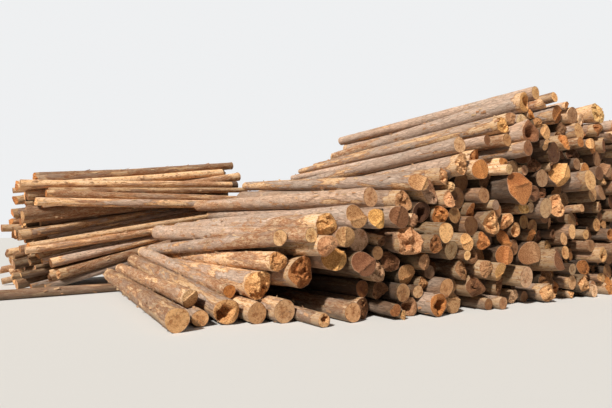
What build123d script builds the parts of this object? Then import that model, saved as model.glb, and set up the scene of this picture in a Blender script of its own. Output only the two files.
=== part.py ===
from build123d import *

import math
import os
import random
from dataclasses import dataclass, field

import numpy as np

# A roadside heap of long pine logs. The main stack lies with its cut ends towards -Y and its
# logs along +Y. It slopes down to toe logs at its left. Behind its left flank a lower heap of
# thin poles lies across, on bearers. Each log is a round stem that tapers, and it lies where
# it came to rest on those laid before it, so its place follows from the sizes below.

# Sawn stems of the main stack, in millimetres
LOG_LENGTH = 6000.0
LENGTH_SPREAD = 40.0
THIN_RADIUS = 82.0
USUAL_RADIUS = 126.0
THICK_RADIUS = 205.0
TAPER_LEAST = 24.0
TAPER_MOST = 52.0
BUTT_SHARE = 0.4
END_STAGGER = 360.0
MOST_SKEW = 45.0

# Upper outline of the main stack, as pairs of x and height over the ground
STACK_OUTLINE = (
    (-900.0, 760.0),
    (-600.0, 960.0),
    (-150.0, 1270.0),
    (700.0, 1590.0),
    (1250.0, 1980.0),
    (2500.0, 2560.0),
    (3200.0, 2820.0),
    (3700.0, 3000.0),
    (4300.0, 3620.0),
    (4900.0, 3780.0),
    (6300.0, 3820.0),
    (7300.0, 3700.0),
    (9500.0, 0.0),
)
STACK_LEFT_EDGE = -760.0
OUTLINE_SLACK = 70.0

# Thin poles of the lower heap, which run along its heading from their low ends
POLE_LENGTH = 5200.0
POLE_THIN_RADIUS = 50.0
POLE_USUAL_RADIUS = 68.0
POLE_THICK_RADIUS = 112.0
POLE_EXTRA_RADIUS = 40.0
POLE_TAPER_LEAST = 12.0
POLE_TAPER_MOST = 30.0
POLE_HEADING = 8.8
POLE_STAGGER = 330.0
POLE_SKEW = 110.0
POLE_MIDDLE_X = -500.0
POLE_GAP = 440.0

# Upper outline of the lower heap half way along its poles, as pairs of depth and height
HEAP_OUTLINE = (
    (0.0, 1450.0),
    (300.0, 2300.0),
    (650.0, 2780.0),
    (1400.0, 2920.0),
    (2500.0, 1100.0),
)

# Short thick logs under the raised ends of the poles
BEARER_LENGTH = 3000.0
BEARER_RADIUS = 230.0
BEARER_SPREAD = 12.0
BEARER_TAPER = 14.0
BEARER_ROWS = (5, 4)
BEARER_PITCH = 500.0
BEARER_START_X = 300.0
BEARER_GAP = 400.0

# A pole on the ground under the far ends of the toe logs
SKID_LENGTH = 4000.0
SKID_RADIUS = 100.0
SKID_TAPER = 12.0
SKID_MIDDLE_X = -2800.0
SKID_INSET = 380.0

# Root swell of a butt: its length, and its shares of width at shares of that length
SWELL_LENGTH = 520.0
SWELL_PLACES = (0.0, 0.3, 0.65, 1.0)
SWELL_SHARES = (1.0, 0.49, 0.12, 0.0)

# Height of the courses that the logs are sorted into, and the seed of their sizes
COURSE_HEIGHT = 330.0
SEED = 41

# Contact, and how far bark lets a log roll sideways from where it is dropped
SEAT_CLEARANCE = 0.3
SHOWN_GRIP = 80.0
STACK_GRIP = 170.0
DROP_HEIGHT = 5200.0
STACK_HEADING = 90.0
STACK_BACK = LOG_LENGTH + LENGTH_SPREAD + END_STAGGER

# Shares of a log's length where contact is always looked for
CONTACT_SHARES = np.array([0.0, 0.02, 0.045, 0.085, 0.29, 0.5, 0.71, 0.915, 0.955, 0.98, 1.0])


@dataclass
class Butt:
    """What the saw and the root left at a log's near end."""

    swell: float = 0.0
    cut_share: float = 0.0
    cut_angle: float = 38.0
    cut_turn: float = 0.0


@dataclass
class KnownLog:
    """A log whose place shows: x of both ends, y of the near one, and how short it is."""

    x_near: float
    x_far: float
    start: float
    short_by: float
    near_radius: float
    far_radius: float
    height: float = 0.0
    butt: Butt = field(default_factory=Butt)


# Loose logs at the foot of the slope, in the order in which they are laid
TOE_LOGS = (
    KnownLog(-1640, -1400, 900, 750, 118, 92),
    KnownLog(-2040, -1710, 640, 500, 165, 135, butt=Butt(cut_share=1.0, cut_angle=5.0, cut_turn=60.0)),
    KnownLog(-890, -1000, 700, 600, 150, 165),
    KnownLog(-540, -640, 550, 600, 170, 150),
    KnownLog(-1210, -1100, 760, 600, 186, 150, butt=Butt(cut_share=0.3, cut_angle=30.0, cut_turn=100.0)),
    KnownLog(-1620, -1500, 1080, 950, 128, 112, butt=Butt(cut_share=0.45, cut_angle=40.0, cut_turn=90.0)),
    KnownLog(-250, -260, -20, 0, 98, 112),
    KnownLog(-720, -800, 840, 650, 195, 165, butt=Butt(swell=30.0, cut_share=0.25, cut_turn=190.0)),
    KnownLog(-450, -330, 240, 0, 205, 150, butt=Butt(swell=38.0, cut_share=0.3, cut_turn=250.0)),
    KnownLog(-1000, -1050, 1250, 1000, 100, 125),
    KnownLog(-700, -560, 420, 200, 138, 130),
)

# Thick or wedge-cut butts in the face, laid once the stack has grown to their height
FACE_LOGS = (
    KnownLog(1200, 1230, -180, 0, 200, 150, 880, Butt(swell=34.0, cut_share=0.2, cut_turn=200.0)),
    KnownLog(530, 560, -200, 0, 146, 118, 1430, Butt(cut_share=0.45, cut_angle=30.0, cut_turn=80.0)),
    KnownLog(170, 140, -120, 0, 168, 140, 1270, Butt(cut_share=0.4, cut_angle=24.0, cut_turn=20.0)),
    KnownLog(1110, 1080, -120, 0, 165, 130, 1270),
    KnownLog(3670, 3660, -330, 0, 245, 170, 1690, Butt(swell=60.0, cut_share=0.22, cut_turn=260.0)),
    KnownLog(5060, 5090, -200, 0, 205, 150, 2170, Butt(swell=30.0, cut_share=0.4, cut_turn=170.0)),
    KnownLog(5380, 5400, -420, 0, 190, 165, 2140, Butt(cut_share=1.0, cut_angle=6.0, cut_turn=0.0)),
    KnownLog(4670, 4660, -350, 0, 200, 160, 440),
    KnownLog(4470, 4500, -260, 0, 150, 120, 150, Butt(swell=30.0, cut_share=0.35, cut_turn=60.0)),
    KnownLog(1670, 1650, -260, 0, 165, 130, 200, Butt(swell=20.0, cut_share=0.2, cut_turn=300.0)),
    KnownLog(1950, 1960, -160, 0, 150, 135, 530),
    KnownLog(3050, 3040, -240, 0, 155, 130, 620, Butt(cut_share=0.35, cut_turn=120.0)),
    KnownLog(20, 20, -60, 0, 150, 120, 760, Butt(cut_share=0.4, cut_angle=26.0, cut_turn=150.0)),
    KnownLog(3900, 3950, -300, 0, 190, 140, 2560, Butt(swell=36.0, cut_share=0.3, cut_turn=30.0)),
    KnownLog(2900, 2860, -250, 0, 185, 140, 1500, Butt(swell=28.0, cut_share=0.28, cut_turn=220.0)),
    KnownLog(7000, 7050, -200, 0, 195, 140, 1100, Butt(swell=30.0, cut_share=0.3, cut_turn=80.0)),
)

# Logs that show along the slope, laid over the filled stack
SLOPE_LOGS = (
    KnownLog(-620, -730, 400, 0, 112, 118),
    KnownLog(-390, -560, 0, -200, 102, 165),
    KnownLog(-130, -100, 0, -200, 160, 175, butt=Butt(cut_share=0.4, cut_angle=28.0, cut_turn=60.0)),
    KnownLog(640, 400, 0, -200, 145, 120),
    KnownLog(760, 600, 0, 0, 85, 110),
    KnownLog(1500, 1400, -100, 0, 140, 110),
    KnownLog(2500, 2300, 0, 0, 136, 105),
)

# Logs that show along the top
TOP_LOGS = (
    KnownLog(3170, 2900, 0, 0, 90, 75),
    KnownLog(3680, 3120, 0, 0, 158, 68, butt=Butt(cut_share=0.35, cut_turn=140.0)),
    KnownLog(3900, 3600, 0, 0, 110, 90),
    KnownLog(4290, 4170, 0, 0, 184, 115, butt=Butt(cut_share=0.45, cut_angle=26.0, cut_turn=200.0)),
    KnownLog(4450, 4470, 0, 0, 122, 110),
    KnownLog(4960, 5000, 0, 0, 98, 90),
    KnownLog(5460, 5500, 0, 0, 76, 80),
    KnownLog(6450, 6400, -150, 0, 170, 120, butt=Butt(swell=46.0, cut_share=0.25, cut_turn=300.0)),
)


@dataclass
class Log:
    """A stem on its axis, from its near end to its far end."""

    mid: np.ndarray
    length: float
    near_radius: float
    far_radius: float
    group: str
    butt: Butt = field(default_factory=Butt)
    near: np.ndarray = field(default_factory=lambda: np.zeros(3))
    far: np.ndarray = field(default_factory=lambda: np.zeros(3))

    @property
    def middle(self):
        return 0.5 * (self.near + self.far)


class Pile:
    """The logs already at rest, with their axes kept as arrays for the distance test."""

    def __init__(self):
        self.logs = []
        self.near = np.zeros((0, 3))
        self.run = np.zeros((0, 3))
        self.radii = np.zeros((0, 2))
        self.swells = np.zeros((0, 1))

    def add(self, log):
        self.logs.append(log)
        self.near = np.vstack([self.near, log.near])
        self.run = np.vstack([self.run, log.far - log.near])
        self.radii = np.vstack([self.radii, (log.near_radius, log.far_radius)])
        self.swells = np.vstack([self.swells, (log.butt.swell,)])

    def surface_height(self, spot, across, first=0):
        """Height of the logs from the first one on, where a plumb line at spot meets them."""
        middles = self.near[first:] + 0.5 * self.run[first:]
        reach = self.radii[first:].mean(axis=1)
        offset = (middles - spot) @ across
        under = np.abs(offset) < reach
        if not under.any():
            return 0.0
        tops = middles[under, 2] + np.sqrt(reach[under] ** 2 - offset[under] ** 2)
        return float(tops.max())

    def near_to(self, near, far, reach):
        """Pick the logs whose boxes come within reach of a new log."""
        low = np.minimum(near, far) - reach
        high = np.maximum(near, far) + reach
        ends = self.near + self.run
        margin = (self.radii.max(axis=1) + self.swells[:, 0])[:, None]
        below = np.minimum(self.near, ends) - margin <= high
        above = np.maximum(self.near, ends) + margin >= low
        return np.flatnonzero((below & above).all(axis=1))


def stem_radius(along, length, radii, swells):
    """Radius of a stem at a distance from its near end, with the swell of its butt."""
    share = along / length
    plain = radii[..., :1] * (1.0 - share) + radii[..., 1:] * share
    if not swells.any():
        return plain
    return plain + swells * np.interp(along / SWELL_LENGTH, SWELL_PLACES, SWELL_SHARES)


class Settler:
    """Lets one log down onto a pile. Each end moves sideways and up or down.

    A state holds the side offsets of the near and far end, then their heights.
    """

    def __init__(self, log, pile, heading):
        self.log = log
        self.pile = pile
        angle = math.radians(heading)
        self.ahead = np.array([math.cos(angle), math.sin(angle), 0.0])
        self.side = np.array([math.sin(angle), -math.cos(angle), 0.0])
        self.radii = np.array([log.near_radius, log.far_radius])
        self.swells = np.array([log.butt.swell])
        self.close = np.zeros(0, dtype=int)
        self.side_low = np.full(2, -math.inf)
        self.side_high = np.full(2, math.inf)

    def ends(self, state):
        """Give both ends of the axis, a log's length apart."""
        rise = state[3] - state[2]
        drift = state[1] - state[0]
        half_run = 0.5 * math.sqrt(self.log.length**2 - rise**2 - drift**2)
        near = self.log.mid - half_run * self.ahead + state[0] * self.side
        far = self.log.mid + half_run * self.ahead + state[1] * self.side
        near[2] = state[2]
        far[2] = state[3]
        return near, far

    def look_around(self, state, reach):
        """Note the logs that this one could meet within a reach."""
        near, far = self.ends(state)
        self.close = self.pile.near_to(near, far, self.radii.max() + self.swells[0] + reach)
        if len(self.close):
            gaps = self.contacts(state)[0]
            self.close = self.close[gaps.min(axis=1) < reach]

    def worst_contact(self, state):
        """Find the tightest gap, where it is along the log and which way it pushes."""
        if not len(self.close):
            return math.inf, 0.5, np.array([0.0, 0.0, 1.0])
        gaps, share, away = self.contacts(state)
        row, column = np.unravel_index(np.argmin(gaps), gaps.shape)
        push = away[row, column]
        return gaps[row, column], share[row, column], push / math.sqrt(push @ push)

    def contacts(self, state):
        """Measure the gaps to the close logs at the places where each could be tightest."""
        near, far = self.ends(state)
        run = far - near
        square = run @ run
        other_near = self.pile.near[self.close]
        other_run = self.pile.run[self.close]
        other_square = (other_run**2).sum(axis=1)
        offset = near - other_near
        cross = other_run @ run
        shared = np.maximum(square * other_square - cross**2, 1.0)
        along_other = (other_run * offset).sum(axis=1)
        nearest = (cross * along_other - other_square * (offset @ run)) / shared

        # Where two tapered stems cross at a small angle, the tightest place lies beyond the
        # crossing of their axes, towards their thick ends
        level = offset + nearest[:, None] * run
        level_share = (level * other_run).sum(axis=1) / other_square
        level_gap = np.sqrt(((level - level_share[:, None] * other_run) ** 2).sum(axis=1))
        widening = self.radii[1] - self.radii[0]
        other_widening = self.pile.radii[self.close, 1] - self.pile.radii[self.close, 0]
        growth = widening + other_widening * cross / other_square
        spread = np.maximum(shared / other_square, 1.0)
        beyond = growth * level_gap / np.sqrt(spread * np.maximum(spread - growth**2, 1.0))

        starts = ((other_near - near) @ run) / square
        stops = ((other_near + other_run - near) @ run) / square
        fixed = np.broadcast_to(CONTACT_SHARES, (len(self.close), len(CONTACT_SHARES)))
        share = np.column_stack([fixed, nearest, nearest + beyond, starts, stops])
        share = np.clip(share, 0.0, 1.0)
        from_near = near + share[..., None] * run - other_near[:, None]
        other_share = (from_near * other_run[:, None]).sum(axis=2) / other_square[:, None]
        other_share = np.clip(other_share, 0.0, 1.0)
        away = from_near - other_share[..., None] * other_run[:, None]
        distance = np.sqrt((away**2).sum(axis=2))
        other_length = np.sqrt(other_square)[:, None]
        own = stem_radius(share * self.log.length, self.log.length, self.radii, self.swells)
        radii = self.pile.radii[self.close]
        swells = self.pile.swells[self.close]
        other = stem_radius(other_share * other_length, other_length, radii, swells)
        return distance - own - other, share, away

    def floor_heights(self, state):
        """Least height of each end of the axis, where the rim touches the ground."""
        rise = (state[3] - state[2]) / self.log.length
        near_radius = self.radii[0] + self.swells[0]
        return np.array([near_radius, self.radii[1]]) * math.sqrt(1.0 - rise**2)

    def push_clear(self, state, rounds):
        """Move the log out of what it overlaps, the tightest place first."""
        for _ in range(rounds):
            state[2:4] = np.maximum(state[2:4], self.floor_heights(state))
            gap, share, push = self.worst_contact(state)
            lack = SEAT_CLEARANCE - gap
            if lack <= 0.002:
                break
            weights = np.array([1.0 - share, share])
            moves = weights / (weights @ weights) * lack
            sideways = push @ self.side
            wanted = state[0:2] + moves * sideways
            state[0:2] = np.clip(wanted, self.side_low, self.side_high)
            held = np.abs(wanted - state[0:2])
            state[2:4] += moves * push[2] + held * abs(sideways) / max(push[2], 0.25)
        return state

    def drop(self, state):
        """Lower the log straight down to the first thing that it meets."""
        self.look_around(state, DROP_HEIGHT)
        for _ in range(40):
            floor_gap = (state[2:4] - self.floor_heights(state)).min()
            gap = min(self.worst_contact(state)[0], floor_gap)
            state[2:4] -= max(gap - SEAT_CLEARANCE, 0.0)
            if gap < 4.0:
                break
        return state

    def roll(self, state):
        """Let the log roll on under its weight, in steps that shrink, until it lies still."""
        step = 24.0
        speed = np.zeros(4)
        fall = np.array([0.0, 0.0, -1.0, -1.0])
        count = 0
        while step > 0.08:
            if count % 6 == 0:
                self.look_around(state, 16.0 * step + 20.0)
            before = state.copy()
            move = np.clip(0.75 * speed + fall * step, -2.5 * step, 2.5 * step)
            state = self.push_clear(state + move, 8)
            speed = state - before
            count += 1
            if count > 18:
                step *= 0.74
        return state

    def rest(self, side_near, side_far, grip):
        """Lay the log where it comes to rest, and tell whether it lies clear of the others."""
        state = np.array([side_near, side_far, DROP_HEIGHT, DROP_HEIGHT], dtype=float)
        self.side_low = state[0:2] - grip
        self.side_high = state[0:2] + grip
        state = self.roll(self.drop(state))
        self.look_around(state, 20.0)
        state = self.push_clear(state, 80)
        lack = 0.0
        for _ in range(60):
            lack = SEAT_CLEARANCE - self.worst_contact(state)[0]
            if lack < 0.02:
                break
            state[2:4] += lack
        self.log.near, self.log.far = self.ends(state)
        return lack < 0.02


def height_under(outline, place):
    """Height of an outline at a place, and none outside it."""
    places = [point[0] for point in outline]
    heights = [point[1] for point in outline]
    return float(np.interp(place, places, heights, left=0.0, right=0.0))


def lay_known(pile, known, group):
    """Lay one of the logs whose place shows."""
    length = LOG_LENGTH - known.short_by
    mid = np.array([0.0, known.start + 0.5 * length, 0.0])
    log = Log(mid, length, known.near_radius, known.far_radius, group, known.butt)
    Settler(log, pile, STACK_HEADING).rest(known.x_near, known.x_far, SHOWN_GRIP)
    pile.add(log)


def lay_skid(pile):
    """Lay the pole that runs along the ground under the toe logs' far ends."""
    mid = np.array([SKID_MIDDLE_X, LOG_LENGTH - SKID_INSET, 0.0])
    skid = Log(mid, SKID_LENGTH, SKID_RADIUS, SKID_RADIUS - SKID_TAPER, "skid_pole")
    Settler(skid, pile, POLE_HEADING).rest(0.0, 0.0, SHOWN_GRIP)
    pile.add(skid)


def lay_bearers(pile, rng):
    """Lay the rows of short thick logs, each row in the valleys of the one below."""
    start = STACK_BACK + BEARER_GAP
    for row, count in enumerate(BEARER_ROWS):
        for index in range(count):
            x = BEARER_START_X + (index + 0.5 * row) * BEARER_PITCH
            radius = BEARER_RADIUS + rng.uniform(-BEARER_SPREAD, BEARER_SPREAD)
            mid = np.array([0.0, start + 0.5 * BEARER_LENGTH, 0.0])
            log = Log(mid, BEARER_LENGTH, radius, radius - BEARER_TAPER, "rear_bearers")
            Settler(log, pile, STACK_HEADING).rest(x, x, SHOWN_GRIP)
            pile.add(log)


def neediest_spot(spots, lacks):
    """Pick the spot where the pile lacks most height, and say how much."""
    best = int(np.argmax(lacks))
    return spots[best], lacks[best]


def fill_stack(pile, rng):
    """Fill the main stack below its outline, always where it still lacks most."""
    across = np.array([1.0, 0.0, 0.0])
    waiting = sorted(FACE_LOGS, key=lambda known: known.height)
    misses = 0
    while misses < 14:
        for known in list(waiting):
            below = pile.surface_height(known.x_near * across, across)
            if below > known.height - known.near_radius - 0.5 * USUAL_RADIUS:
                lay_known(pile, known, "course")
                waiting.remove(known)
        radius = rng.triangular(THIN_RADIUS, THICK_RADIUS, USUAL_RADIUS)
        taper = rng.uniform(TAPER_LEAST, TAPER_MOST)
        if rng.random() > BUTT_SHARE:
            taper = -taper
        spots = [rng.uniform(STACK_LEFT_EDGE, STACK_OUTLINE[-1][0] - radius) for _ in range(14)]
        lacks = [height_under(STACK_OUTLINE, x) - pile.surface_height(x * across, across) for x in spots]
        x, lack = neediest_spot(spots, lacks)
        if lack < 1.5 * radius:
            misses += 1
            continue
        skew = rng.uniform(-MOST_SKEW, MOST_SKEW)
        start = rng.triangular(-END_STAGGER, END_STAGGER, 0.0)
        length = LOG_LENGTH + rng.uniform(-LENGTH_SPREAD, LENGTH_SPREAD)
        mid = np.array([0.0, start + 0.5 * length, 0.0])
        log = Log(mid, length, radius + 0.5 * taper, radius - 0.5 * taper, "course")
        clear = Settler(log, pile, STACK_HEADING).rest(x - skew, x + skew, STACK_GRIP)
        top = log.middle[2] + radius
        if clear and top < height_under(STACK_OUTLINE, log.middle[0]) + OUTLINE_SLACK:
            misses = 0
            pile.add(log)
        else:
            misses += 1


def fill_heap(pile, rng):
    """Fill the lower heap below its outline, on the bearers and on the ground."""
    first = len(pile.logs)
    angle = math.radians(POLE_HEADING)
    ahead = np.array([math.cos(angle), math.sin(angle), 0.0])
    deeper = np.array([-math.sin(angle), math.cos(angle), 0.0])
    start = np.array([POLE_MIDDLE_X, STACK_BACK + POLE_GAP, 0.0])
    misses = 0
    while misses < 24:
        spots = [rng.uniform(0.0, HEAP_OUTLINE[-1][0]) for _ in range(12)]
        lacks = []
        for spot in spots:
            below = pile.surface_height(start + spot * deeper, deeper, first)
            lacks.append(height_under(HEAP_OUTLINE, spot) - below)
        depth, lack = neediest_spot(spots, lacks)
        extra = POLE_EXTRA_RADIUS * min(depth / 900.0, 1.0)
        thickest = POLE_THICK_RADIUS + extra
        radius = rng.triangular(POLE_THIN_RADIUS, thickest, POLE_USUAL_RADIUS + 0.5 * extra)
        if lack < 1.5 * radius:
            misses += 1
            continue
        taper = rng.uniform(POLE_TAPER_LEAST, POLE_TAPER_MOST) * rng.choice((1.0, -1.0))
        skew = rng.uniform(-POLE_SKEW, POLE_SKEW)
        mid = start + rng.uniform(-POLE_STAGGER, POLE_STAGGER) * ahead + depth * deeper
        log = Log(mid, POLE_LENGTH, radius + 0.5 * taper, radius - 0.5 * taper, "heap")
        clear = Settler(log, pile, POLE_HEADING).rest(-skew, skew, STACK_GRIP)
        depth_now = (log.middle - start) @ deeper
        if clear and log.middle[2] + radius < height_under(HEAP_OUTLINE, depth_now) + OUTLINE_SLACK:
            misses = 0
            pile.add(log)
        else:
            misses += 1


def build_pile():
    """Lay every log, the ones below first."""
    rng = random.Random(SEED)
    pile = Pile()
    lay_skid(pile)
    for known in TOE_LOGS:
        lay_known(pile, known, "toe_logs")
    fill_stack(pile, rng)
    for known in SLOPE_LOGS:
        lay_known(pile, known, "slope_logs")
    for known in TOP_LOGS:
        lay_known(pile, known, "top_logs")
    lay_bearers(pile, rng)
    fill_heap(pile, rng)
    return pile


def swollen_stem(log):
    """Revolve a stem whose butt widens towards the root."""
    radii = np.array([log.near_radius, log.far_radius])
    swells = np.array([log.butt.swell])
    outline = [(0, 0, 0)]
    for place in (*SWELL_PLACES, log.length / SWELL_LENGTH):
        along = place * SWELL_LENGTH
        outline.append((float(stem_radius(along, log.length, radii, swells)[0]), 0, along))
    outline.append((0, 0, log.length))
    return Solid.revolve(Face(Wire.make_polygon(outline)), 360, Axis.Z)


def wedge_cut(log, stem):
    """Take the felling wedge off the butt, from a chord of its face out to its side."""
    rim = log.near_radius + log.butt.swell
    chord = rim * (1.0 - 2.0 * log.butt.cut_share)
    size = 4.0 * rim
    block = Solid.make_box(size, size, size).moved(Location((0, -0.5 * size, -size)))
    block = block.moved(Location((chord, 0, 0), (0, -log.butt.cut_angle, 0)))
    block = block.moved(Location((0, 0, 0), (0, 0, log.butt.cut_turn)))
    return stem.cut(block).solids()[0]


def stem_solid(log):
    """Make a log's solid and stand it on its axis."""
    if log.butt.swell > 0.0:
        stem = swollen_stem(log)
    else:
        stem = Solid.make_cone(log.near_radius, log.far_radius, log.length)
    if log.butt.cut_share > 0.0:
        stem = wedge_cut(log, stem)
    axis = (log.far - log.near) / log.length
    return stem.moved(Plane(origin=tuple(log.near), z_dir=tuple(axis)).location)


def origin_shift(pile):
    """Shift that puts the middle of the pile's box, at ground level, on the origin."""
    lows = []
    highs = []
    for log in pile.logs:
        level = np.sqrt(1.0 - ((log.far - log.near) / log.length) ** 2)
        for end, radius in ((log.near, log.near_radius + log.butt.swell), (log.far, log.far_radius)):
            lows.append(end - radius * level)
            highs.append(end + radius * level)
    low = np.min(lows, axis=0)
    high = np.max(highs, axis=0)
    return -0.5 * np.array([low[0] + high[0], low[1] + high[1], 2.0 * low[2]])


def node_name(log):
    """Name of the node that holds a log: its group, and its course where it has one."""
    if log.group not in ("course", "heap"):
        return log.group
    return f"{log.group}_{int(log.middle[2] // COURSE_HEIGHT) + 1:02d}"


def main():
    pile = build_pile()
    centre = Location(tuple(origin_shift(pile)))
    nodes = {}
    for log in pile.logs:
        nodes.setdefault(node_name(log), []).append(stem_solid(log).moved(centre))
    os.makedirs("parts", exist_ok=True)
    for name, stems in nodes.items():
        export_step(Compound(children=stems, label=name), f"parts/{name}.step")
    print(len(pile.logs), "logs in", len(nodes), "nodes, origin shift", origin_shift(pile))


if __name__ == "__main__":
    main()
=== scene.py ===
"""Looks of a roadside stack of pine logs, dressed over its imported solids.

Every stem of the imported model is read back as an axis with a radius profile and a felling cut.
A bark surface is built round that axis, with sawn, stepped, torn or hollow ends in the wood.
Branch stubs, loose bark and splinters are set on the stems by geometry node trees.
"""

import logging
import math
from dataclasses import dataclass, field
from enum import Enum

import bpy
import numpy as np
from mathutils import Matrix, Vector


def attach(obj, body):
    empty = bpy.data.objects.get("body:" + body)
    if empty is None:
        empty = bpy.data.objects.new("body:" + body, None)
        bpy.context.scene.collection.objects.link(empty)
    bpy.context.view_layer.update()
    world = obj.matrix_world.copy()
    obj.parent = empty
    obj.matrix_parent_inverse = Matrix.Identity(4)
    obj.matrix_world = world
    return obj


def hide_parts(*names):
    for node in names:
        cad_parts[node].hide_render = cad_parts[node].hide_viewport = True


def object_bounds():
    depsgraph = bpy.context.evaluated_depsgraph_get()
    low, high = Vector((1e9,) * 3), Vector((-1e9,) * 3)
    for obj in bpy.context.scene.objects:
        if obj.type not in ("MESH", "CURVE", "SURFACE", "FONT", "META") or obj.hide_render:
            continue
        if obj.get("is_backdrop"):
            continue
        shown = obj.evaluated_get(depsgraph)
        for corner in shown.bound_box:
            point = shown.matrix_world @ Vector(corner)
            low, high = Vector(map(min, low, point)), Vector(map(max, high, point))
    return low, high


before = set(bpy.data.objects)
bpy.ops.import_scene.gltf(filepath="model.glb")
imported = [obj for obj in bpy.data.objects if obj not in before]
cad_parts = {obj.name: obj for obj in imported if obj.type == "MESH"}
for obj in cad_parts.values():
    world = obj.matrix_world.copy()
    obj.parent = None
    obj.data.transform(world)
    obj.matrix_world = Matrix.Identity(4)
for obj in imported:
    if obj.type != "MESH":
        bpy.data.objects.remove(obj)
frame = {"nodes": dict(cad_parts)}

LOG = logging.getLogger("log_stack")
SEED = 20417
BODY = "root"
UP = (0.0, 0.0, 1.0)
FULL_TURN = 2.0 * math.pi

# Steps from one log's seed to the next, and from it to the seeds of the log's other draws
LOG_STEP = 7
SHAPE_STEP = 3
NEAR_END_STEP = 5
FAR_END_STEP = 6
WARMTH_STEP = 11

Vec = np.ndarray
Rgb = tuple[float, float, float]
Room = tuple[Vec, Vec]
Span = tuple[float, float]
Socket = bpy.types.NodeSocket
Draws = np.random.RandomState


class EndForm(Enum):
    """How a log's end was left by the saw or by the fall."""

    SAWN = "sawn"
    STEPPED = "stepped"
    TORN = "torn"
    HOLLOW = "hollow"


class BarkKind(Enum):
    """Which part of a pine's trunk a log comes from."""

    PLATED = "plated"
    MIXED = "mixed"
    FLAKY = "flaky"


@dataclass(frozen=True)
class Palette:
    """Base colours of wood and bark, in linear light.

    The last two aren't colours: inside multiplies the bark of logs inside the stack, as a warmer
    painted shade, and sunk is how much darker each channel gets deep in a broken end, as painted shade.
    """

    fresh: Rgb = (0.80, 0.445, 0.205)
    pale: Rgb = (0.82, 0.520, 0.300)
    weathered: Rgb = (0.46, 0.250, 0.122)
    grey: Rgb = (0.50, 0.320, 0.200)
    amber: Rgb = (0.53, 0.220, 0.070)
    umber: Rgb = (0.25, 0.112, 0.048)
    plate: Rgb = (0.470, 0.345, 0.268)
    plate_warm: Rgb = (0.520, 0.345, 0.235)
    flake: Rgb = (0.64, 0.365, 0.190)
    flake_red: Rgb = (0.47, 0.200, 0.088)
    inside: Rgb = (1.0, 0.84, 0.69)
    sunk: Rgb = (0.26, 0.40, 0.52)


@dataclass(frozen=True)
class CameraSetup:
    """Where the photograph was taken from, measured from the outermost toe log's near end."""

    back: float = 6.55
    left: float = 2.21
    height: float = 1.30
    turn_degrees: float = 32.15
    pitch_degrees: float = 2.81
    focal_px: float = 530.0
    image_width_px: float = 612.0
    image_height_px: float = 408.0
    sensor_mm: float = 36.0


@dataclass
class Stem:
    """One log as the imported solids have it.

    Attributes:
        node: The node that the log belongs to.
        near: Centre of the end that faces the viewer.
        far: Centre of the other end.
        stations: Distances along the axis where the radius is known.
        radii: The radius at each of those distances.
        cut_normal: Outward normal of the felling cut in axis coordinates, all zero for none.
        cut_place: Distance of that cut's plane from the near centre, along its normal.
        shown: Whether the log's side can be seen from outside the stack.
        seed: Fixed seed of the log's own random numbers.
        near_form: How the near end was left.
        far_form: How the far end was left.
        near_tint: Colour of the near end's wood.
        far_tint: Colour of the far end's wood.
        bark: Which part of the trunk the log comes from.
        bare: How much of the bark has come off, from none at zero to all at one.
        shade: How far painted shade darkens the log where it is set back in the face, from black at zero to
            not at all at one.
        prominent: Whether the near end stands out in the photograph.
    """

    node: str
    near: Vec
    far: Vec
    stations: Vec
    radii: Vec
    cut_normal: Vec = field(default_factory=lambda: np.zeros(3))
    cut_place: float = 0.0
    shown: bool = False
    seed: int = 0
    near_form: EndForm = EndForm.SAWN
    far_form: EndForm = EndForm.SAWN
    near_tint: Rgb = Palette.fresh
    far_tint: Rgb = Palette.weathered
    bark: BarkKind = BarkKind.MIXED
    bare: float = 0.1
    shade: float = 1.0
    prominent: bool = False

    @property
    def length(self) -> float:
        """Length of the log in metres."""
        return float(np.linalg.norm(self.far - self.near))

    @property
    def axis(self) -> Vec:
        """Unit vector from the near end to the far end."""
        return (self.far - self.near) / self.length

    @property
    def basis(self) -> Vec:
        """Rows that hold a level side vector, a mostly upward vector and the axis."""
        return basis_of(self.axis)

    def radius_at(self, along: Vec) -> Vec:
        """Radius at distances from the near end.

        Args:
            along: Distances from the near end, in metres.

        Returns:
            The radii there.
        """
        return np.interp(along, self.stations, self.radii)


def basis_of(axis: Vec) -> Vec:
    """Give the side, upward and axial vectors of a log.

    Args:
        axis: Unit vector along the log.

    Returns:
        A matrix with the three vectors as rows.
    """
    side = np.cross(axis, UP)
    side /= np.linalg.norm(side)
    return np.array([side, np.cross(side, axis), axis])


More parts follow.
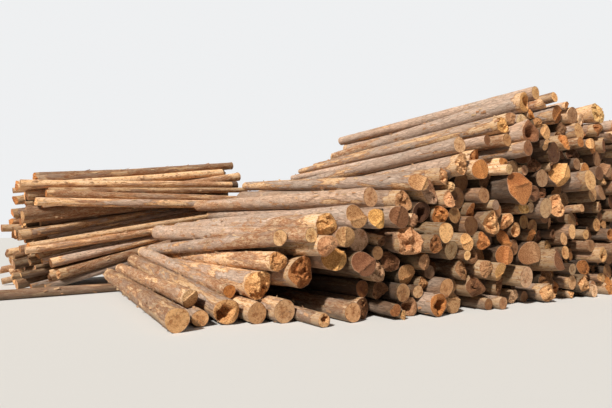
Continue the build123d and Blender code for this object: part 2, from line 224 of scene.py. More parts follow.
@dataclass
class FrameReader:
    """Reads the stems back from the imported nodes.

    Attributes:
        nodes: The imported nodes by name.
        ahead: Roughly the way in which logs point, from their near ends to their far ends.
        swell_length: How far up from the ground end a root swell reaches.
        least_swell: The least widening at the butt that counts as a root swell.
        flat_limit: Cosine above which a face counts as square to the axis.
        rough_limit: Cosine above which a face counts as part of an end.
        cut_limit: Cosine above which a face that looks back counts as part of a felling cut.
        cut_reach: How far up from the near end a felling cut may lie.
        least_cut: The least area of a felling cut.
        least_face: The least area of a face that is read at all.
        key_scale: Steps to a metre in which places are compared.
        rim_reach: How far from the near end its rim is measured.
        end_reach: How far from the far end its rim is measured.
        margin: How far either side of the swell's top the trunk is measured.
        tail: How much of the far end is left out there.
    """

    nodes: dict[str, bpy.types.Object]
    ahead: Rgb = (0.5, 0.85, 0.0)
    swell_length: float = 0.52
    least_swell: float = 0.008
    flat_limit: float = 0.9985
    rough_limit: float = 0.96
    cut_limit: float = 0.3
    cut_reach: float = 0.9
    least_cut: float = 0.001
    least_face: float = 1e-10
    key_scale: float = 1e5
    rim_reach: float = 0.004
    end_reach: float = 0.003
    margin: float = 0.01
    tail: float = 0.5

    @staticmethod
    def islands(count: int, triangles: Vec) -> Vec:
        """Number the connected solids of a triangle mesh.

        Args:
            count: How many vertices there are.
            triangles: Vertex numbers, three to a row.

        Returns:
            A label for each vertex, the same within one solid.
        """
        labels = np.arange(count)
        while True:
            lowest = labels[triangles].min(axis=1)
            before = labels.copy()
            for corner in triangles.T:
                np.minimum.at(labels, corner, lowest)
            labels = labels[labels]
            if np.array_equal(before, labels):
                return labels

    def stem_of(self, node: str, points: Vec, triangles: Vec) -> Stem:
        """Fit an axis, a radius profile and a felling cut to one solid.

        Args:
            node: Name of the node.
            points: The node's vertices.
            triangles: The solid's triangles.

        Returns:
            The stem, its near end towards the viewer.
        """
        corners = points[triangles]
        crossed = np.cross(corners[:, 1] - corners[:, 0], corners[:, 2] - corners[:, 0])
        areas = 0.5 * np.linalg.norm(crossed, axis=1)
        keep = areas > self.least_face
        corners, areas = corners[keep], areas[keep]
        normals = crossed[keep] / (2.0 * areas[:, None])
        own = corners.reshape(-1, 3)
        axis = np.linalg.svd(own - own.mean(axis=0), full_matrices=False)[2][0]
        if axis @ np.array(self.ahead) < 0.0:
            axis = -axis
        back = normals @ axis > self.rough_limit
        axis = (normals[back] * areas[back, None]).sum(axis=0)
        axis /= np.linalg.norm(axis)
        middles = corners.mean(axis=1)
        back = normals @ axis > self.flat_limit
        far = (middles[back] * areas[back, None]).sum(axis=0) / areas[back].sum()
        along = (own - far) @ axis
        length = float(-along.min())
        near = far - length * axis
        along += length
        across = np.linalg.norm(own - near - np.outer(along, axis), axis=1)

        # The plain taper comes from the trunk past the swell, and the swell from the rim
        facing = normals @ axis
        far_radius = float(across[along > length - self.end_reach].max())
        trunk = (along > self.swell_length - self.margin) & (along < length - self.tail)
        rim = float(across[along < self.rim_reach].max())
        start_radius = rim
        if trunk.any():
            outermost = trunk & (along < self.swell_length + self.margin)
            trunk = outermost if outermost.any() else trunk
            share = along[trunk] / length
            start_radius = float(((across[trunk] - far_radius * share) / (1.0 - share)).max())
        swell = rim - start_radius if rim - start_radius > self.least_swell else 0.0
        if swell == 0.0 and rim > start_radius:
            start_radius = rim
        stations = np.concatenate([np.linspace(0.0, self.swell_length, 6), np.linspace(1.0, length, 5)])
        radii = start_radius + (far_radius - start_radius) * stations / length
        radii += swell * np.clip(1.0 - stations / self.swell_length, 0.0, 1.0) ** 2
        stem = Stem(node, near, far, stations, radii)

        # A felling cut is a flat face that is neither square to the axis nor along it
        low_enough = (middles - near) @ axis < self.cut_reach
        cut = (facing < -self.cut_limit) & (facing > -self.flat_limit) & low_enough
        if areas[cut].sum() > self.least_cut:
            normal = (normals[cut] * areas[cut, None]).sum(axis=0)
            normal /= np.linalg.norm(normal)
            centre = (middles[cut] * areas[cut, None]).sum(axis=0) / areas[cut].sum()
            stem.cut_normal = basis_of(axis) @ normal
            stem.cut_place = float((centre - near) @ normal)
        return stem

    def read(self) -> list[Stem]:
        """Read every stem of every node.

        Returns:
            The stems, ordered by node and place, so that the order is the same each run.
        """
        stems: list[Stem] = []
        for name in sorted(self.nodes):
            mesh = self.nodes[name].data
            raw = np.empty(len(mesh.vertices) * 3, np.float32)
            mesh.vertices.foreach_get("co", raw)
            corners = np.empty(len(mesh.loops), np.int32)
            mesh.loops.foreach_get("vertex_index", corners)

            # Corners at one place are merged, by a key of 21 bits to a coordinate
            keys = np.round(raw.reshape(-1, 3) * self.key_scale).astype(np.int64) + 2_000_000
            packed = (keys[:, 0] << 42) + (keys[:, 1] << 21) + keys[:, 2]
            first, merged = np.unique(packed, return_index=True, return_inverse=True)[1:]
            points = raw.reshape(-1, 3)[first].astype(float)
            triangles = merged.reshape(-1)[corners].reshape(-1, 3)
            labels = self.islands(len(points), triangles)[triangles[:, 0]]
            solids = [triangles[labels == label] for label in np.unique(labels)]
            found = [self.stem_of(name, points, solid) for solid in solids]
            found.sort(key=lambda stem: (round(stem.near[0], 3), round(stem.near[2], 3)))
            stems.extend(found)
        for number, stem in enumerate(stems):
            stem.seed = SEED + LOG_STEP * number
        return stems


@dataclass(frozen=True)
class Sighting:
    """An end that stands out in the photograph.

    Attributes:
        x_px: Column of its middle in the picture.
        y_px: Row of its middle in the picture.
        form: How the end was left.
        tint: Colour of its wood.
    """

    x_px: float
    y_px: float
    form: EndForm
    tint: Rgb


SIGHTINGS = (
    Sighting(178, 316, EndForm.SAWN, (0.66, 0.37, 0.16)),
    Sighting(230, 312, EndForm.HOLLOW, (0.70, 0.38, 0.15)),
    Sighting(262, 285, EndForm.TORN, (0.90, 0.525, 0.22)),
    Sighting(331, 219, EndForm.TORN, (0.78, 0.43, 0.16)),
    Sighting(311, 233, EndForm.SAWN, (0.84, 0.53, 0.25)),
    Sighting(280, 238, EndForm.SAWN, (0.80, 0.50, 0.25)),
    Sighting(280, 262, EndForm.TORN, (0.68, 0.36, 0.14)),
    Sighting(307, 273, EndForm.TORN, (0.46, 0.19, 0.060)),
    Sighting(285, 311, EndForm.SAWN, (0.58, 0.34, 0.17)),
    Sighting(258, 313, EndForm.SAWN, (0.50, 0.27, 0.12)),
    Sighting(412, 259, EndForm.HOLLOW, (0.58, 0.24, 0.055)),
    Sighting(379, 220, EndForm.STEPPED, (0.82, 0.46, 0.14)),
    Sighting(354, 232, EndForm.STEPPED, (0.52, 0.30, 0.13)),
    Sighting(406, 232, EndForm.SAWN, (0.60, 0.31, 0.09)),
    Sighting(528, 207, EndForm.TORN, (0.84, 0.50, 0.18)),
    Sighting(568, 183, EndForm.STEPPED, (0.80, 0.45, 0.17)),
    Sighting(589, 184, EndForm.SAWN, (0.72, 0.42, 0.18)),
    Sighting(565, 278, EndForm.SAWN, (0.68, 0.40, 0.20)),
    Sighting(554, 297, EndForm.TORN, (0.72, 0.42, 0.19)),
    Sighting(441, 299, EndForm.HOLLOW, (0.50, 0.20, 0.055)),
    Sighting(449, 281, EndForm.SAWN, (0.58, 0.30, 0.13)),
    Sighting(500, 272, EndForm.STEPPED, (0.62, 0.34, 0.12)),
    Sighting(343, 270, EndForm.STEPPED, (0.66, 0.36, 0.12)),
    Sighting(371, 196, EndForm.SAWN, (0.66, 0.37, 0.19)),
    Sighting(460, 150, EndForm.SAWN, (0.72, 0.43, 0.22)),
    Sighting(508, 122, EndForm.TORN, (0.80, 0.45, 0.16)),
    Sighting(531, 98, EndForm.HOLLOW, (0.76, 0.41, 0.15)),
    Sighting(530, 78, EndForm.SAWN, (0.72, 0.42, 0.18)),
    Sighting(602, 106, EndForm.TORN, (0.78, 0.50, 0.20)),
)


@dataclass(frozen=True)
class BarkMix:
    """Which bark the logs of one group have.

    Attributes:
        kinds: Shares of plated, mixed and flaky bark.
        bare: How bare a log of the group may be.
        bare_shares: Shares of those, or none where any value between the two is as likely.
    """

    kinds: Rgb
    bare: tuple[float, ...]
    bare_shares: tuple[float, ...] = ()

    def choose(self, rng: Draws) -> tuple[BarkKind, float]:
        """Choose a log's bark and how bare it is."""
        bare = rng.choice(self.bare, p=self.bare_shares) if self.bare_shares else rng.uniform(*self.bare)
        return list(BarkKind)[int(rng.choice(len(self.kinds), p=self.kinds))], float(bare)


THIN_MIX = BarkMix((0.12, 0.26, 0.62), (0.06, 0.22, 0.42, 0.8), (0.34, 0.3, 0.22, 0.14))
TOE_MIX = BarkMix((0.08, 0.42, 0.5), (0.2, 0.42))
STACK_MIX = BarkMix((0.52, 0.34, 0.14), (0.04, 0.12, 0.3, 0.6), (0.5, 0.3, 0.14, 0.06))

# Shares of sawn, stepped, torn and hollow ends among thick ends, thin ends and root swells
THICK_FORMS = (0.27, 0.26, 0.39, 0.08)
THIN_FORMS = (0.54, 0.15, 0.28, 0.03)
SWOLLEN_FORMS = (0.0, 0.22, 0.60, 0.18)

# Colours of the ends' wood, and their shares among sawn and broken ends
END_COLOURS = (Palette.fresh, Palette.pale, Palette.weathered, Palette.grey, Palette.amber, Palette.umber)
SAWN_COLOURS = (0.31, 0.16, 0.28, 0.03, 0.11, 0.11)
BROKEN_COLOURS = (0.36, 0.08, 0.14, 0.0, 0.24, 0.18)


@dataclass
class StackPlanner:
    """Decides how each log looks: its ends, its colours and its bark.

    Attributes:
        stems: The logs to dress.
        camera: Where the photograph was taken from.
        reach_px: How far a sighting may lie from the end that it is given to.
        end_share: Share of an end's radius that counts as a hit.
        usual_depth: How far from the camera a sighting's end usually is, in metres.
        depth_cost_px: How much further an end counts for each metre beyond that.
        neighbour_reach: How near a neighbour of an end lies, in metres.
        painted_shade_fall: How fast painted shade darkens set-back ends, for each metre.
        darkest: The least share of its colour that an end keeps under painted shade.
        painted_shade_warmth: Powers of the painted shade for red, green and blue, which make it warmer.
        thick_radius: Least radius of a thick end.
        swell_ratio: How much wider than the trunk a root swell is at least.
        probe_shares: Shares of a log's length at which its side is probed.
        probe_degrees: Start, stop and step of the angles that are probed there.
        least_slope: Cosine between two logs below which one doesn't hide the other.
        least_open: How many probes must come out of the stack for the side to show.
        face_percent: Percentile of the neighbours' places that counts as their face.
        brightness: Range of an end's brightness.
        green_change: Range in which its green varies.
        blue_change: Range in which its blue varies.
        tint_limits: Darkest and brightest value of a channel.
    """

    stems: list[Stem]
    camera: CameraSetup = CameraSetup()
    reach_px: float = 16.0
    end_share: float = 0.7
    usual_depth: float = 9.0
    depth_cost_px: float = 0.6
    neighbour_reach: float = 0.5
    painted_shade_fall: float = 3.5
    darkest: float = 0.28
    painted_shade_warmth: Rgb = (1.0, 1.15, 1.35)
    thick_radius: float = 0.115
    swell_ratio: float = 1.12
    probe_shares: Rgb = (0.3, 0.55, 0.8)
    probe_degrees: Rgb = (-30.0, 211.0, 15.0)
    least_slope: float = 0.2
    least_open: int = 2
    face_percent: float = 30.0
    brightness: Span = (0.64, 1.26)
    green_change: Span = (0.95, 1.03)
    blue_change: Span = (0.86, 1.04)
    tint_limits: Span = (0.02, 0.90)

    def camera_place(self) -> Vec:
        """Work out the camera's place from the outermost toe log.

        Returns:
            The place in metres.
        """
        toes = [stem for stem in self.stems if stem.node == "toe_logs"]
        toe = min(toes, key=lambda stem: stem.near[0])
        setup = self.camera
        return np.array([toe.near[0] - setup.left, toe.near[1] - setup.back, setup.height])

    def picture_place(self, point: Vec) -> tuple[float, float, float]:
        """Project a point into the photograph.

        Args:
            point: A point in metres.

        Returns:
            The pixel column, the pixel row and the depth.
        """
        setup = self.camera
        turn, pitch = math.radians(setup.turn_degrees), math.radians(setup.pitch_degrees)
        offset = point - self.camera_place()
        right = np.array([math.cos(turn), -math.sin(turn), 0.0])
        level = np.array([math.sin(turn), math.cos(turn), 0.0])
        ahead = level * math.cos(pitch) + np.array([0.0, 0.0, math.sin(pitch)])
        above = np.cross(right, ahead)
        depth = float(offset @ ahead)
        column = 0.5 * setup.image_width_px + setup.focal_px * float(offset @ right) / depth
        row = 0.5 * setup.image_height_px - setup.focal_px * float(offset @ above) / depth
        return column, row, depth

    def mark_shown(self) -> None:
        """Mark the logs whose sides can be seen from outside."""
        nears = np.array([stem.near for stem in self.stems])
        axes = np.array([stem.axis for stem in self.stems])
        lengths = np.array([stem.length for stem in self.stems])
        ends = np.array([(stem.radii[0], stem.radii[-1]) for stem in self.stems])
        angles = np.radians(np.arange(*self.probe_degrees))
        for number, stem in enumerate(self.stems):
            side, up, axis = stem.basis
            open_ways = 0
            for share in self.probe_shares:
                spot = stem.near + share * stem.length * axis
                slope = axes @ axis
                where = ((spot - nears) @ axis) / np.where(np.abs(slope) < self.least_slope, np.nan, slope)
                inside = (where > 0.0) & (where < lengths)
                inside[number] = False
                points = nears[inside] + where[inside, None] * axes[inside] - spot
                ratio = where[inside] / lengths[inside]
                radii = ends[inside, 0] * (1.0 - ratio) + ends[inside, 1] * ratio
                flat = np.column_stack([points @ side, points @ up])
                for angle in angles:
                    way = np.array([math.cos(angle), math.sin(angle)])
                    ahead = flat @ way
                    aside = np.abs(flat @ np.array([-way[1], way[0]]))
                    open_ways += not ((ahead > 0.0) & (aside < radii)).any()
            stem.shown = open_ways >= self.least_open

    def plan(self) -> None:
        """Choose ends, colours and bark for every log."""
        self.mark_shown()
        for stem in self.stems:
            rng = Draws(stem.seed)
            stem.near_form, stem.near_tint = self.end_of(stem, 0, rng)
            stem.far_form, stem.far_tint = self.end_of(stem, -1, rng)
            stem.bark, stem.bare = self.mix_of(stem).choose(rng)
        fronts = [stem for stem in self.stems if not stem.node.startswith(("heap", "rear", "skid"))]
        places = [self.picture_place(stem.near) for stem in fronts]
        taken: set[int] = set()
        for sighting in SIGHTINGS:
            gaps = []
            for number, (column, row, depth) in enumerate(places):
                size = self.camera.focal_px * fronts[number].radii[0] / depth
                gap = math.hypot(column - sighting.x_px, row - sighting.y_px)
                gap = gap - self.end_share * size + self.depth_cost_px * (depth - self.usual_depth)
                gaps.append(math.inf if number in taken else gap)
            best = int(np.argmin(gaps))
            if gaps[best] < self.reach_px:
                taken.add(best)
                fronts[best].near_form = sighting.form
                fronts[best].near_tint = sighting.tint
                fronts[best].prominent = True
        self.paint_set_back_shade(fronts)

    def paint_set_back_shade(self, fronts: list[Stem]) -> None:
        """Darken the ends that are set back among their neighbours with painted shade, which darkens their
        bark too.

        Args:
            fronts: The logs whose near ends make the face.
        """
        nears = np.array([stem.near for stem in fronts])
        for number, stem in enumerate(fronts):
            gaps = np.hypot(nears[:, 0] - stem.near[0], nears[:, 2] - stem.near[2])
            close = nears[(gaps < self.neighbour_reach) & (gaps > 0.0), 1]
            if stem.prominent or stem.shown or not len(close):
                continue
            face = np.percentile(close, self.face_percent)
            set_back = max(float(stem.near[1] - face), 0.0)
            # Painted shade: the further back an end lies, the darker and warmer its wood and the darker its
            # bark
            stem.shade = max(1.0 - self.painted_shade_fall * set_back, self.darkest)
            channels = zip(stem.near_tint, self.painted_shade_warmth)
            stem.near_tint = tuple(channel * stem.shade**power for channel, power in channels)

    def end_of(self, stem: Stem, end: int, rng: Draws) -> tuple[EndForm, Rgb]:
        """Choose the form and colour of one end.

        Args:
            stem: The log.
            end: Zero for the near end and minus one for the far end.
            rng: The log's own random numbers.

        Returns:
            The form and the wood's colour.
        """
        radius, past_swell = stem.radii[end], stem.radii[5]
        thick = radius >= max(stem.radii[0], stem.radii[-1]) - 1e-6 and radius > self.thick_radius
        chances = THICK_FORMS if thick else THIN_FORMS
        if end == 0 and radius > self.swell_ratio * past_swell:
            chances = SWOLLEN_FORMS
        form = EndForm.SAWN
        draw = rng.rand()
        for candidate, chance in zip(EndForm, chances):
            form = candidate
            draw -= chance
            if draw < 0.0:
                break
        shares = SAWN_COLOURS if form is EndForm.SAWN else BROKEN_COLOURS
        colour = np.array(END_COLOURS[int(rng.choice(len(END_COLOURS), p=shares))])
        mixed = colour * rng.uniform(*self.brightness)
        mixed = mixed * (1.0, rng.uniform(*self.green_change), rng.uniform(*self.blue_change))
        return form, tuple(float(value) for value in np.clip(mixed, *self.tint_limits))

    @staticmethod
    def mix_of(stem: Stem) -> BarkMix:
        """Say which bark the logs of a log's group have.

        Args:
            stem: The log.

        Returns:
            The group's mix.
        """
        if stem.node.startswith(("heap", "skid")):
            return THIN_MIX
        return TOE_MIX if stem.node == "toe_logs" else STACK_MIX


def placed(name: str, data: bpy.types.ID) -> bpy.types.Object:
    """Make an object and link it to the scene.

    Args:
        name: The object's name.
        data: Its mesh, lamp or camera.

    Returns:
        The object.
    """
    thing = bpy.data.objects.new(name, data)
    bpy.context.scene.collection.objects.link(thing)
    return thing


@dataclass
class MeshStore:
    """Collects vertices, faces and point attributes of one piece.

    Attributes:
        points: Vertex places, one block for each log.
        quads: Faces with four corners.
        triangles: Faces with three corners.
        quad_slots: Material numbers of the quads.
        triangle_slots: Material numbers of the triangles.
        floats: Named point attributes with one number.
        vectors: Named point attributes with three numbers.
        count: How many vertices there are so far.
        sharp_degrees: Angle between faces past which their edge stays sharp.
    """

    points: list[Vec] = field(default_factory=list)
    quads: list[Vec] = field(default_factory=list)
    triangles: list[Vec] = field(default_factory=list)
    quad_slots: list[Vec] = field(default_factory=list)
    triangle_slots: list[Vec] = field(default_factory=list)
    floats: dict[str, list[Vec]] = field(default_factory=dict)
    vectors: dict[str, list[Vec]] = field(default_factory=dict)
    count: int = 0
    sharp_degrees: float = 48.0

    def add_points(self, points: Vec, floats: dict[str, Vec], vectors: dict[str, Vec]) -> int:
        """Add vertices with their attributes.

        Args:
            points: Places, one row each.
            floats: One number a vertex for each name.
            vectors: Three numbers a vertex for each name.

        Returns:
            The number of the first added vertex.
        """
        first = self.count
        self.points.append(points)
        for name, values in floats.items():
            self.floats.setdefault(name, []).append(values)
        for name, values in vectors.items():
            self.vectors.setdefault(name, []).append(values)
        self.count += len(points)
        return first

    def add_faces(self, faces: Vec, slot: int) -> None:
        """Add faces of three or four corners with one material.

        Args:
            faces: Vertex numbers, one row a face.
            slot: The material's number.
        """
        slots = np.full(len(faces), slot, np.int32)
        if faces.shape[1] == 4:
            self.quads.append(faces)
            self.quad_slots.append(slots)
        else:
            self.triangles.append(faces)
            self.triangle_slots.append(slots)

    def to_object(self, name: str, materials: list[bpy.types.Material], room: Room) -> bpy.types.Object:
        """Make a mesh object of everything collected.

        Args:
            name: The object's name.
            materials: Materials in the order of their numbers.
            room: Lowest and highest corner of the room that the piece has.

        Returns:
            The object, at the origin, linked to the scene.
        """
        points = np.clip(np.vstack(self.points), *room)
        quads = np.vstack(self.quads) if self.quads else np.zeros((0, 4), np.int64)
        triangles = np.vstack(self.triangles) if self.triangles else np.zeros((0, 3), np.int64)
        corners = np.concatenate([quads.ravel(), triangles.ravel()]).astype(np.int32)
        totals = np.concatenate([np.full(len(quads), 4), np.full(len(triangles), 3)]).astype(np.int32)
        slots = np.concatenate(self.quad_slots + self.triangle_slots).astype(np.int32)
        mesh = bpy.data.meshes.new(name)
        mesh.vertices.add(len(points))
        mesh.vertices.foreach_set("co", points.astype(np.float32).ravel())
        mesh.loops.add(len(corners))
        mesh.loops.foreach_set("vertex_index", corners)
        mesh.polygons.add(len(totals))
        starts = np.concatenate([[0], np.cumsum(totals)[:-1]]).astype(np.int32)
        mesh.polygons.foreach_set("loop_start", starts)
        mesh.polygons.foreach_set("material_index", slots)
        mesh.polygons.foreach_set("use_smooth", np.ones(len(totals), bool))
        mesh.update(calc_edges=True)
        for key, blocks in self.floats.items():
            layer = mesh.attributes.new(key, "FLOAT", "POINT")
            layer.data.foreach_set("value", np.concatenate(blocks).astype(np.float32))
        for key, blocks in self.vectors.items():
            values, kind, label = np.vstack(blocks), "FLOAT_VECTOR", "vector"
            if key == "tint":
                values, kind, label = np.column_stack([values, np.ones(len(values))]), "FLOAT_COLOR", "color"
            layer = mesh.attributes.new(key, kind, "POINT")
            layer.data.foreach_set(label, values.astype(np.float32).ravel())
        mesh.set_sharp_from_angle(angle=math.radians(self.sharp_degrees))
        for material in materials:
            mesh.materials.append(material)
        return placed(name, mesh)


@dataclass
class Ripple:
    """A sum of waves over a log's side or end, fixed by a seed.

    Attributes:
        turns: How many times each wave goes round the log.
        pitches: How fast each wave runs along it, in radians to a metre.
        phases: Where each wave starts.
        heights: How high each wave is.
    """

    turns: Vec
    pitches: Vec
    phases: Vec
    heights: Vec

    @classmethod
    def drawn(cls, rng: Draws, count: int, most_turns: int, shortest: float, longest: float) -> "Ripple":
        """Draw waves at random.

        Args:
            rng: The random numbers to draw from.
            count: How many waves to draw.
            most_turns: The most waves round the log.
            shortest: The shortest wave along the log, in metres.
            longest: The longest wave along the log, in metres.

        Returns:
            The ripple, whose height is about one.
        """
        turns = rng.randint(0, most_turns + 1, count).astype(float)
        pitches = FULL_TURN / np.exp(rng.uniform(math.log(shortest), math.log(longest), count))
        pitches *= rng.choice((-1.0, 1.0), count)
        heights = rng.uniform(0.5, 1.0, count)
        phases = rng.uniform(0.0, FULL_TURN, count)
        return cls(turns, pitches, phases, heights / np.sqrt((heights**2).sum() * 0.5))

    def at(self, angle: Vec, along: Vec) -> Vec:
        """Height of the ripple at angles round the log and places along it.

        Args:
            angle: Angles in radians.
            along: Distances in metres.

        Returns:
            The heights.
        """
        waves = self.turns * angle[..., None] + self.pitches * along[..., None] + self.phases
        return 0.5 * (np.sin(waves) * self.heights).sum(axis=-1)


@dataclass
class EndCap:
    """The relief of one end, as depths into the wood from the end's plane.

    Depths are worked out as shares of the end's radius.

    Attributes:
        form: How the end was left.
        radius: The end's radius.
        rng: The log's own random numbers.
        wave_count: How many waves make the broken fibres.
        facet_count: How many slanted faces a torn end has.
        chip_count: How many chips a torn end is broken into.
        pipe_shift: How far a hollow lies off the middle.
        deepest: The deepest that an end goes into the wood.
    """

    form: EndForm
    radius: float
    rng: Draws
    wave_count: int = 9
    facet_count: int = 4
    chip_count: int = 34
    pipe_shift: float = 0.2
    deepest: float = 1.5

    def __post_init__(self) -> None:
        """Draw the end's own numbers."""
        rng, waves, facets = self.rng, self.wave_count, self.facet_count
        self.lean_way = rng.uniform(0.0, FULL_TURN)
        self.lean = rng.uniform(0.01, 0.07)
        self.chord = rng.uniform(-0.35, 0.45)
        self.step = rng.uniform(0.10, 0.32)
        self.slope = rng.uniform(0.1, 0.6)
        self.chip_depth = rng.uniform(0.25, 0.6)
        self.waves = rng.uniform(3.0, 13.0, (waves, 2)) * rng.choice((-1.0, 1.0), (waves, 2))
        self.offsets = rng.uniform(0.0, FULL_TURN, waves)
        self.lobes = Ripple.drawn(rng, 5, 5, 1.0, 4.0)
        ways = rng.uniform(0.0, FULL_TURN, facets)
        self.facets = list(zip(ways, rng.uniform(-0.2, 0.7, facets), rng.uniform(0.3, 1.5, facets)))
        self.chips = rng.uniform(-1.0, 1.0, (self.chip_count, 2))
        self.chip_levels = rng.rand(self.chip_count) ** 1.5

    def roughness(self, u: Vec, v: Vec) -> Vec:
        """Rough field of broken fibres over the unit disc.

        Args:
            u: Sideways places as shares of the radius.
            v: Upward places as shares of the radius.

        Returns:
            Its values, from zero to one.
        """
        total = np.zeros_like(u)
        for (a, b), phase in zip(self.waves, self.offsets):
            total += np.abs(np.sin(a * u + b * v + phase))
        return total / len(self.waves)

    def stepped(self, u: Vec, v: Vec, past_chord: Vec) -> Vec:
        """Cut a step down past a chord, with torn holding wood on its edge.

        Args:
            u: Sideways places as shares of the radius.
            v: Upward places as shares of the radius.
            past_chord: How far past the felling step the places lie.

        Returns:
            The depths.
        """
        past = 1.0 / (1.0 + np.exp(-past_chord * 26.0))
        ridge = np.exp(-((past_chord + 0.06) / 0.07) ** 2)
        depth = 0.10 + past * (self.step + self.slope * np.clip(past_chord, 0.0, 2.0))
        return depth - ridge * 0.22 * self.roughness(u * 1.7, v * 1.7)

    def torn(self, u: Vec, v: Vec, reach: Vec) -> Vec:
        """Tear slanted faces, broken into chips that grow shallow at the rim.

        Args:
            u: Sideways places as shares of the radius.
            v: Upward places as shares of the radius.
            reach: How far from the middle they lie.

        Returns:
            The depths.
        """
        faces = [slope * (u * math.cos(way) + v * math.sin(way) - place) for way, place, slope in self.facets]
        gaps = (u[..., None] - self.chips[:, 0]) ** 2 + (v[..., None] - self.chips[:, 1]) ** 2
        levels = self.chip_levels[gaps.argmin(axis=-1)] * (1.0 - 0.65 * reach**4)
        depth = 0.7 * np.clip(np.max(faces, axis=0), 0.0, 1.3)
        return depth + self.chip_depth * levels + 0.10 * self.roughness(u, v)

    def hollow(self, u: Vec, v: Vec, reach: Vec, past_chord: Vec) -> Vec:
        """Rot a deep pipe off the middle, with a ragged wall.

        Args:
            u: Sideways places as shares of the radius.
            v: Upward places as shares of the radius.
            reach: How far from the middle they lie.
            past_chord: How far past the felling step the places lie.

        Returns:
            The depths.
        """
        up = v - self.pipe_shift * math.sin(self.lean_way)
        side = u - self.pipe_shift * math.cos(self.lean_way)
        angle, off = np.arctan2(up, side), np.hypot(up, side)
        wall = 0.50 + 0.17 * self.lobes.at(angle, np.zeros_like(angle))
        inside = 1.0 / (1.0 + np.exp((off - wall) * 17.0))
        rough = self.roughness(u, v)
        depth = inside * (0.55 + 0.75 * rough) + 0.05 + 0.22 * rough * reach
        return depth + 0.45 * self.slope * np.clip(past_chord, 0.0, 1.0)

    def depth_at(self, u: Vec, v: Vec) -> Vec:
        """Depth into the wood at places on the unit disc.

        Args:
            u: Sideways place as a share of the radius.
            v: Upward place as a share of the radius.

        Returns:
            Depths in metres, none of them negative.
        """
        across = u * math.cos(self.lean_way) + v * math.sin(self.lean_way)
        reach, past_chord = np.hypot(u, v), across - self.chord
        depth = self.lean * (across + 1.0)
        if self.form is EndForm.STEPPED:
            depth = depth + self.stepped(u, v, past_chord)
        elif self.form is EndForm.TORN:
            depth = depth + self.torn(u, v, reach)
        elif self.form is EndForm.HOLLOW:
            depth = depth + self.hollow(u, v, reach, past_chord)
        return np.clip(depth, 0.0, self.deepest) * self.radius


@dataclass
class Resolution:
    """How finely a log is built.

    Attributes:
        around: Vertices round the log.
        rings: Rings along it.
        near_rings: Rings over its near end.
        far_rings: Rings over its far end.
    """

    around: int
    rings: int
    near_rings: int
    far_rings: int


# Logs whose whole length shows, other logs that show, logs whose near end stands out, and the rest
FULL_LENGTH = Resolution(52, 64, 13, 6)
SHOWN_THIN = Resolution(22, 36, 4, 3)
SHOWN_THICK = Resolution(28, 36, 8, 4)
STANDS_OUT = Resolution(44, 12, 14, 3)
INSIDE_SAWN = Resolution(20, 12, 3, 2)
INSIDE_BROKEN = Resolution(28, 12, 8, 3)

# Places of the first rings from the near end in metres, and how many of them the far end repeats
END_RINGS = (0.0, 0.035, 0.085, 0.16, 0.28, 0.50, 0.90)
FAR_RINGS = 4


@dataclass
class Carriers:
    """Faces that small pieces are set on, taken from the logs as they are built.

    Attributes:
        flaky: Bark that sheds loose flakes.
        trunks: Sides that carry branch stubs.
        breaks: Torn wood that carries splinters.
    """

    flaky: MeshStore = field(default_factory=MeshStore)
    trunks: MeshStore = field(default_factory=MeshStore)
    breaks: MeshStore = field(default_factory=MeshStore)


